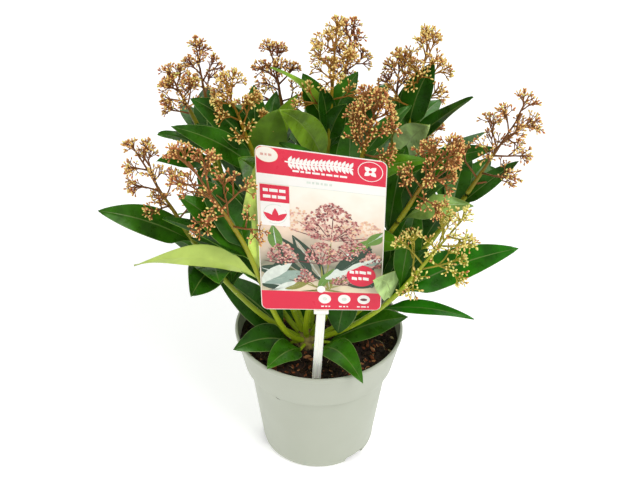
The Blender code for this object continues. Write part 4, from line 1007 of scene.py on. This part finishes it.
# Stems, their forks and the axes of the flower heads: each is one tube that tapers along its path.
def makeStems():
    look, bundle = stemLook, Bundle()
    for number, shoot in enumerate(shoots.values()):
        for index, top in enumerate(shoot["heads"]):
            t = np.linspace(0, 1, look["steps"])
            path = forkPath(shoot, top, t) if index else shootPath(shoot, t)
            if index == 0:
                path = np.concatenate([[crownCentre + (path[0] - crownCentre) * look["root"]], path])
                t = np.concatenate([[0], t])
            s = np.linspace(0, 1, look["axisSteps"])[1:]
            places = np.stack([s * 9, s * 0 + number, s * 0 + index], -1)
            sway = waves(places, 1, seeds["sway"])[:, None] * look["sway"]
            axis = top["base"] + (top["tip"] - top["base"]) * s[:, None] + sway * np.sin(np.pi * s)[:, None]
            whole = np.concatenate([path, axis])
            radius = np.concatenate([look["foot"] + (look["top"] - look["foot"]) * t,
                                     look["tip"] + (look["top"] - look["tip"]) * (1 - s) ** look["taper"]])
            if index:
                radius = radius * look["forkThin"]
            rough = 1 + look["uneven"] * waves(whole, 700, seeds["uneven"] + number)
            rings = tubeRings(whole[None], (radius * rough)[None], look["around"])
            relief = waves(rings, 1600, seeds["stemRelief"]) * look["relief"]
            rings = rings + relief[..., None] * unit(rings - whole[None, :, None])
            flat = np.zeros((*rings.shape[:3], 2))
            flat[..., 1] = (np.concatenate([t, 1 + s]) / 2)[:, None]
            bundle.skin(rings, list(stemTones).index(top["tone"]), flat=flat)
    for twig in lowTwigs.values():
        out = heading(*twig["foot"])
        start = crownCentre + out * crownLook["radius"] * 0.7
        end = crownCentre + out * (crownLook["radius"] + look["gap"] + twig["length"])
        path = start + (end - start) * np.linspace(0, 1, 8)[:, None]
        bundle.skin(tubeRings(path[None], np.linspace(*look["twig"], 8)[None] * mm, 12), 0)
    materials = [finish("stem" + tone.title(), None, None, 0.42, patch=120, grain=1400, relief=0.06 * mm,
                        shine=0.3, stops=stops) for tone, stops in stemTones.items()]
    bundle.make("stems", materials, "green_stem", ["stem_" + name for name in shoots])
    makeScars()


# Pale leaf scars: small low bumps up each stem, turned by the golden angle.
def makeScars():
    look, bundle, draw = stemLook, Bundle(), np.random.default_rng(seeds["scars"])
    for shoot in shoots.values():
        shares = np.linspace(*look["scarSpan"], look["scars"]) + draw.uniform(-0.03, 0.03, look["scars"])
        places = shootPath(shoot, shares)
        side, up = frameOf(unit(shootPath(shoot, shares + 0.01) - places))
        turn = np.radians(goldenTurn * np.arange(len(shares)) + draw.uniform(0, 360))[:, None]
        outward = side * np.cos(turn) + up * np.sin(turn)
        radius = (look["foot"] + (look["top"] - look["foot"]) * shares)[:, None]
        budSkins(bundle, places + outward * radius * 0.8, outward, np.full(len(shares), look["scar"]), 0.9)
    bundle.make("stemScars", [finish("stemScar", *look["scarColours"], 0.6, patch=400)], "green_stem")


# Egg-shaped skins, each of its own size: six-sided rings of a rounded profile along its way.
def budSkins(bundle, places, ways, sizes, slim, finishes=0):
    profile = np.array([(0.40, 0.0), (0.80, 0.30), (1.0, 0.62), (0.66, 0.88)])
    half = (sizes * slim / 2)[:, None, None, None]
    rings = places[:, None, None] + rimsOf(ways, 6)[:, None] * half * profile[None, :, None, :1]
    rings = rings + (ways * sizes[:, None])[:, None, None] * profile[None, :, None, 1:]
    bundle.skin(rings, finishes, np.stack([places, places + ways * sizes[:, None]], 1))


# From every place, count twigs fan out round its way: golden turns, splay degrees off it.
def fanOut(places, ways, count, splay, reach, draw):
    look, number = headLook, len(places)
    side, up = frameOf(ways)
    turn = draw.uniform(0, 2 * np.pi, (number, 1)) + np.radians(goldenTurn) * np.arange(count)
    tilt = np.radians(splay) * draw.uniform(1 - look["fanSpread"], 1 + look["fanSpread"], (number, count))
    tilt[:, 0] *= look["fanLead"]
    around = side[:, None] * np.cos(turn)[..., None] + up[:, None] * np.sin(turn)[..., None]
    made = unit(ways[:, None] * np.cos(tilt)[..., None] + around * np.sin(tilt)[..., None])
    length = reach * draw.uniform(*look["fanLengths"], (number, count))
    starts = np.repeat(places[:, None], count, 1)
    ends = starts + made * length[..., None]
    return starts.reshape(-1, 3), ends.reshape(-1, 3), made.reshape(-1, 3)


# Tapering twigs between places, bowed a little to one side.
def rodSkins(bundle, starts, ends, low, high, sides, finishes, bow=0.0):
    span = ends - starts
    side = frameOf(unit(span))[0]
    t = np.array([0, 0.5, 1.0]) if bow else np.array([0, 1.0])
    paths = starts[:, None] + span[:, None] * t[None, :, None]
    if bow:
        paths[:, 1] += side * (np.linalg.norm(span, axis=1) * bow)[:, None]
    radii = np.broadcast_to(low + (high - low) * t, paths.shape[:2])
    bundle.skin(tubeRings(paths, radii, sides), finishes)


# Share of each bud colour in a head of a named tone
budMixes = {"rose": (0.50, 0.28, 0.16, 0.06), "tan": (0.26, 0.40, 0.28, 0.06),
            "gold": (0.10, 0.26, 0.54, 0.10), "brown": (0.28, 0.46, 0.22, 0.04),
            "green": (0.04, 0.12, 0.30, 0.54)}
# Colours of each kind of bud: its body and its pale tip, which is partly the bud's own paler tip and partly a
# painted highlight
budTones = {"rose": ((0.47, 0.120, 0.045), (0.76, 0.44, 0.15)),
            "russet": ((0.42, 0.155, 0.035), (0.72, 0.45, 0.13)),
            "ochre": ((0.52, 0.26, 0.045), (0.84, 0.63, 0.20)),
            "lime": ((0.41, 0.38, 0.050), (0.79, 0.74, 0.21))}
twigTones = {"rose": (0.23, 0.092, 0.022), "tan": (0.19, 0.075, 0.018), "gold": (0.29, 0.135, 0.018),
             "brown": (0.16, 0.055, 0.018), "green": (0.31, 0.270, 0.028)}


# A vector turned about an axis by degrees.
def turnedBy(vector, axis, degrees):
    return Matrix.Rotation(math.radians(degrees), 3, axis) @ vector


# The main twigs of a head by the source's rule, each as the feet and ends of its rod and its two prongs;
# only those whose ends the frame's solid holds.
def sprayPlan(top, draw, node):
    look, count, made = headLook, top["sprays"], []
    base, axis = Vector(top["base"]), Vector(top["tip"]) - Vector(top["base"])
    along = axis.normalized()
    side = along.orthogonal().normalized()
    for k in range(count + 1):
        last = k == count
        share = look["top"] if last else look["low"] + (look["high"] - look["low"]) * k / (count - 1)
        opening = math.radians(0 if last else look["openLow"] + (look["openTop"] - look["openLow"]) * share)
        length = top["reach"] * (1 - look["loss"] * share) * draw.uniform(*look["spread"])
        outward = along * math.cos(opening)
        outward += turnedBy(side, along, top["start"] + goldenTurn * k) * math.sin(opening)
        start = base + axis * share
        across = outward.orthogonal().normalized()
        across.rotate(Matrix.Rotation(draw.uniform(0, 2 * math.pi), 3, outward))
        draw.random()  # the source draws its spray's width here
        main = turnedBy(outward, across, -look["bend"])
        prong = turnedBy(outward, across, look["prongSplay"])
        third = turnedBy(outward, turnedBy(across, outward, look["thirdTurn"]),
                         look["prongSplay"] * look["thirdSplay"])
        fork = start + main * (length * look["prongShare"])
        split = start + main * (length * look["thirdShare"])
        ends = [start + main * length, fork + prong * (length * look["prongLength"]),
                split + third * (length * look["thirdLength"])]
        if any((node.find_nearest(end)[0] - end).length < look["match"] for end in ends[:2]):
            made.append([(tuple(foot), tuple(end)) for foot, end in zip((start, fork, split), ends)])
    return np.array(made)


# Flower heads: main twigs, stalks and pedicels that end in buds, dealt out by colour.
def makeHeads(draws, nodes):
    look, twigs, draw = headLook, Bundle(), np.random.default_rng(seeds["buds"])
    buds = {tone: Bundle() for tone in budTones}
    # Rings of each bud that take the tip's colour, with its painted highlight
    bands = {tone: np.repeat(np.array(look["bands"][tone])[:, None], 6, 1) for tone in budTones}
    for name, shoot in shoots.items():
        for top in shoot["heads"]:
            plan = sprayPlan(top, draws[name], nodes["foliage_" + name])
            feet, ends = (plan[:, :, k].swapaxes(0, 1) for k in range(2))
            ends = ends - unit(ends - feet) * look["back"] * look["backShare"]
            wood = 2 * list(twigTones).index(top["tone"])
            for foot, end, (thick, sides, bow) in zip(feet, ends, look["rods"]):
                rodSkins(twigs, foot, end, look["twig"] * thick, look["stalk"], sides, wood, bow)
            feet, places = feet.reshape(-1, 3), ends.reshape(-1, 3)
            ways = unit(places - feet)
            fans = [fanOut(places - ways * look["back"] * 0.1, ways, *look["topFan"], draw),
                    fanOut(feet + (places - feet) * look["sideShare"], ways, *look["sideFan"], draw)]
            low, high, aside = (np.concatenate(parts) for parts in zip(*fans))
            rodSkins(twigs, low, high, look["stalk"], look["pedicel"], 4, wood + 1)
            low, ends, ways = fanOut(high, aside, *look["pedicelFan"], draw)
            rodSkins(twigs, low, ends, look["pedicel"], look["pedicel"] * 0.9, 3, wood + 1)
            sizes = draw.uniform(*look["bud"], len(ends))
            kind = draw.choice(len(budTones), len(ends), p=budMixes[top["tone"]])
            for number, tone in enumerate(budTones):
                held = kind == number
                if held.any():
                    budSkins(buds[tone], ends[held], ways[held], sizes[held], look["slim"], bands[tone])
    woods = []
    for tone, colour in twigTones.items():
        for part, shade, patch in (("twig", colour, 200), ("stalk", brighter(colour, 1.2), 300)):
            woods.append(finish(part + tone.title(), shade, 1.3, 0.5, patch=patch, shine=0.25))
    twigs.make("headTwigs", woods, "green_stem")
    for tone, (body, tip) in budTones.items():
        # Each bud's body, and its pale tip that carries a painted highlight
        skins = [finish("bud" + tone.title(), body, 1.2, 0.5, patch=500, coat=0.1, shine=0.3),
                 finish("budTipHighlight" + tone.title(), tip, 1.08, 0.45, patch=500, coat=0.1, shine=0.3)]
        buds[tone].make("buds" + tone.title(), skins, "foliage")


# Midrib places, across and face vectors of a leaf at shares t, by the source's rule.
def leafFrame(blade, t, root):
    ahead = heading(blade["azimuth"], blade["rise"])
    side = unit(np.cross(ahead, (0, 0, 1)))
    up = np.cross(side, ahead)
    turn = math.radians(blade["roll"])
    across = side * math.cos(turn) + up * math.sin(turn)
    face = up * math.cos(turn) - side * math.sin(turn)
    t = np.asarray(t, float)
    bow = 4 * t * (1 - t)
    arch = blade["arch"] * blade["length"] * bow
    middle = root + ahead * (blade["length"] * t)[:, None] + up * arch[:, None]
    half = blade["width"] / 2 * np.sin(np.pi * t ** leafLook["belly"]) ** leafLook["fullness"]
    return middle, across, face, half


# The leaf at the heading and rise where the frame's solid holds its tip, or None.
def settled(blade, root, node):
    for lift in leafLook["lifts"]:
        for shift in leafLook["shifts"]:
            tried = dict(blade, azimuth=blade["azimuth"] + shift, rise=blade["rise"] + lift)
            tip = Vector(leafFrame(tried, [1.0], root)[0][0])
            if (node.find_nearest(tip)[0] - tip).length < leafLook["match"]:
                return tried
    return None


# Colours of the leaves' tones; pale is a grey-green well above the leaves' own green, partly their own paler
# colour and partly painted light that keeps a leaf lying in shade as bright as a lit one
leafTones = {"dark": (0.020, 0.088, 0.002), "deep": (0.011, 0.054, 0.002), "mid": (0.062, 0.168, 0.004),
             "light": (0.150, 0.270, 0.016), "lime": (0.42, 0.53, 0.10), "fresh": (0.010, 0.100, 0.001),
             "sage": (0.15, 0.25, 0.050), "pale": (0.38, 0.52, 0.21)}
# Places of a leaf's columns across it, from edge to edge, close together at its midrib and its edges
leafColumns = np.array([-1, -0.97, -0.78, -0.56, -0.34, -0.15, -0.04, 0.04, 0.15, 0.34, 0.56, 0.78, 0.97, 1])


# A thin leaf: a petiole that widens to the blade, folded along its midrib, with a wavy edge.
def leafSkin(bundle, blade, root, draw):
    look, s = leafLook, leafColumns
    t = np.linspace(0, 1, look["rows"]) ** look["rowEase"]
    middle, across, face, half = leafFrame(blade, t, root)
    down = t[:, None]
    ease = np.clip((t - look["neck"]) / look["neckLength"], 0, 1)
    half = half * (look["neckWidth"] + (1 - look["neckWidth"]) * ease * ease * (3 - 2 * ease))
    half = (half + look["stalkHalf"] * (1 - t) + look["edgeHalf"])[:, None]
    ease = ease[:, None]
    phase, waviness = draw.uniform(0, 2 * np.pi), draw.uniform(*look["wave"]) * mm
    wave = np.sin(look["waveTurns"] * down + phase + look["waveShift"] * np.sign(s))
    lift = half * look["fold"] * (np.sqrt(s ** 2 + 0.02) - 0.14) + waviness * wave * s ** 2 * ease
    lift = lift - look["groove"] * np.exp(-(s / look["grooveWidth"]) ** 2) * ease
    thick = look["thickness"] / 2 * (1 - 0.4 * np.abs(s))
    thick = thick + look["stalkRound"] * np.exp(-down / look["stalkFade"]) * np.exp(-s ** 2)
    bottom = -thick - look["rib"] * np.exp(-(s / look["ribWidth"]) ** 2) * (1 - down)
    sheet = middle[:, None] + across * (half * s)[..., None] + face * lift[..., None]
    rings = np.concatenate([sheet + face * thick[..., None], (sheet + face * bottom[..., None])[:, ::-1]], 1)
    place = np.stack([half * s, 0 * s + down * blade["length"]], -1) * 100
    flat = np.concatenate([place, place[:, ::-1]], 1)
    first = 4 * list(leafTones).index(blade["tone"])
    strips = np.full(len(s) * 2, first)
    strips[[0, len(s) - 2]] = first + 3
    strips[6] = first + 2
    strips[len(s) - 1:] = first + 1
    bundle.skin(rings[None], np.repeat(strips[None], look["rows"] - 1, 0), flat=flat[None])


# For each tone of leaf: its upper face, its underside, its midrib and its thin pale edge.
def leafFinishes():
    look, made = leafLook, []
    blade = {"patch": 75, "grain": 1800, "veins": True}
    for tone, colour in leafTones.items():
        title = tone.title()
        under, drift = look["paleUnder"] if tone in look["paleTones"] else look["under"]
        made += [finish("leafTop" + title, brighter(colour, 0.8), brighter(colour, 1.8), 0.33,
                        relief=0.03 * mm, coat=0.05, spread=0.09, shine=0.38, tint=look["sheen"], **blade),
                 finish("leafUnder" + title, under, drift, 0.5, relief=0.05 * mm, shine=0.3, **blade),
                 finish("leafRib" + title, mixed(colour, look["ribGreen"], 0.25), 1.1, 0.35, patch=90),
                 finish("leafEdge" + title, mixed(colour, look["edgeGreen"], 0.35), 1.1, 0.4, patch=90)]
    return made


# All leaves, each where the frame's mass has it.
def makeLeaves(draws, nodes):
    bundle = Bundle()
    draw = np.random.default_rng(seeds["leaves"])
    missing = 0

    def place(blade, root, owner):
        nonlocal missing
        found = settled(blade, root, nodes[owner])
        if found is None:
            missing += 1
            return
        if found["tone"] == "dark" and draw.uniform() < leafLook["deepShare"]:
            found["tone"] = "deep"
        leafSkin(bundle, found, root, draw)

    for name, twig in lowTwigs.items():
        out = heading(*twig["foot"])
        root = crownCentre + out * (crownLook["radius"] + stemLook["gap"] + twig["length"] - 1.5 * mm)
        for blade in twig["leaves"]:
            place(blade, root, "foliage_" + name)
    for name, shoot in shoots.items():
        for blade in shoot["leaves"]:
            place(blade, shootPath(shoot, blade["along"]), "foliage_" + name)
    for name, shoot in shoots.items():
        for ring in shoot["whorls"]:
            for blade in whorlLeaves(ring, draws[name]):
                place(blade, shootPath(shoot, blade["along"]), "foliage_" + name)
    print("leaves that the frame leaves out:", missing)
    bundle.make("leaves", leafFinishes(), "foliage", list(nodes))


# The leaves of a whorl, each a little off the even turn.
def whorlLeaves(ring, draw):
    look, blades = leafLook, []
    for k in range(ring["count"]):
        azimuth = ring["first"] + (ring["last"] - ring["first"]) * k / max(1, ring["count"] - 1)
        azimuth += draw.uniform(-look["jitter"], look["jitter"])
        rise = ring["rise"] + draw.uniform(-look["jitter"], look["jitter"])
        length = ring["length"] * draw.uniform(*look["lengths"])
        arch, roll = draw.uniform(*look["arches"]), draw.uniform(-look["roll"], look["roll"])
        blades.append({"along": ring["along"], "azimuth": azimuth, "rise": rise, "length": length,
                       "width": length / look["slenderness"], "arch": arch, "roll": roll, "tone": "dark"})
    return blades


# A tree of a frame node's faces, to ask where its solid lies.
def solidTree(made):
    return BVHTree.FromPolygons([vert.co for vert in made.data.vertices],
                                [tuple(face.vertices) for face in made.data.polygons])


# The crown and all that grows from it; each shoot has its own random draws, as in the source.
def makePlant():
    nodes = {name: solidTree(made) for name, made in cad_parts.items() if name.startswith("foliage_")}
    draws = {name: random.Random(shoot["seed"]) for name, shoot in shoots.items()}
    makeCrown()
    makeStems()
    makeHeads(draws, nodes)
    makeLeaves(draws, nodes)


# Studio

studio = {"distance": 0.85, "elevation": 39.23, "aimHeight": 0.112, "pitch": 34.84, "roll": 0.7,
          "lens": 61.48, "sensor": 36, "floor": 8.0, "floorDrop": 0.0002, "floorColour": (0.95, 0.95, 0.95),
          "floorGlow": 0.30, "world": 0.52, "view": "Standard", "lampAim": (0, 0, 0.2)}
# Name, place, width and power of each lamp
lamps = [("key", (0.9, -1.0, 1.8), 0.9, 22), ("fill", (-1.3, -0.8, 1.3), 1.2, 7),
         ("rim", (0.2, 1.5, 1.6), 1.2, 9)]


# A pale floor, soft lamps and the camera at the photograph's angle.
def makeStudio():
    look, scene = studio, bpy.context.scene
    steps = np.linspace(-look["floor"] / 2, look["floor"] / 2, 9)
    x, y = np.meshgrid(steps, steps)
    points = np.stack([x, y, 0 * x - look["floorDrop"]], -1).reshape(-1, 3)
    cells = (np.arange(8)[:, None] * 9 + np.arange(8)).reshape(-1, 1) + [0, 1, 10, 9]
    mesh = bpy.data.meshes.new("floor")
    mesh.from_pydata(points.tolist(), [], cells.tolist())
    mesh.materials.append(finish("floorPaper", look["floorColour"], look["floorColour"], 0.9, patch=3,
                                 glow=look["floorGlow"]))
    floor = bpy.data.objects.new("floor", mesh)
    scene.collection.objects.link(floor)
    for name, place, width, power in lamps:
        light = bpy.data.lights.new(name, "AREA")
        light.size = width
        light.energy = power
        lamp = bpy.data.objects.new(name, light)
        lamp.location = place
        lamp.rotation_euler = (Vector(look["lampAim"]) - Vector(place)).to_track_quat("-Z", "Y").to_euler()
        scene.collection.objects.link(lamp)
    world = bpy.data.worlds.new("studio")
    world.use_nodes = True
    world.node_tree.nodes["Background"].inputs["Color"].default_value = (1, 1, 1, 1)
    world.node_tree.nodes["Background"].inputs["Strength"].default_value = look["world"]
    scene.world = world
    scene.view_settings.view_transform = look["view"]
    camera = bpy.data.cameras.new("camera")
    camera.sensor_width = look["sensor"]
    camera.lens = look["lens"]
    view = bpy.data.objects.new("camera", camera)
    rise = math.radians(look["elevation"])
    place = (0, -look["distance"] * math.cos(rise), look["aimHeight"] + look["distance"] * math.sin(rise))
    view.matrix_world = (Matrix.Translation(place) @ Matrix.Rotation(math.radians(90 - look["pitch"]), 4, "X")
                         @ Matrix.Rotation(math.radians(look["roll"]), 4, "Z"))
    scene.collection.objects.link(view)
    scene.camera = view


for title, makeStage in {"studio": makeStudio, "pot": makePot, "soil": makeSoil, "label card": makeCard,
                         "label stick": makeStick, "plant": makePlant}.items():
    print("stage:", title)
    makeStage()
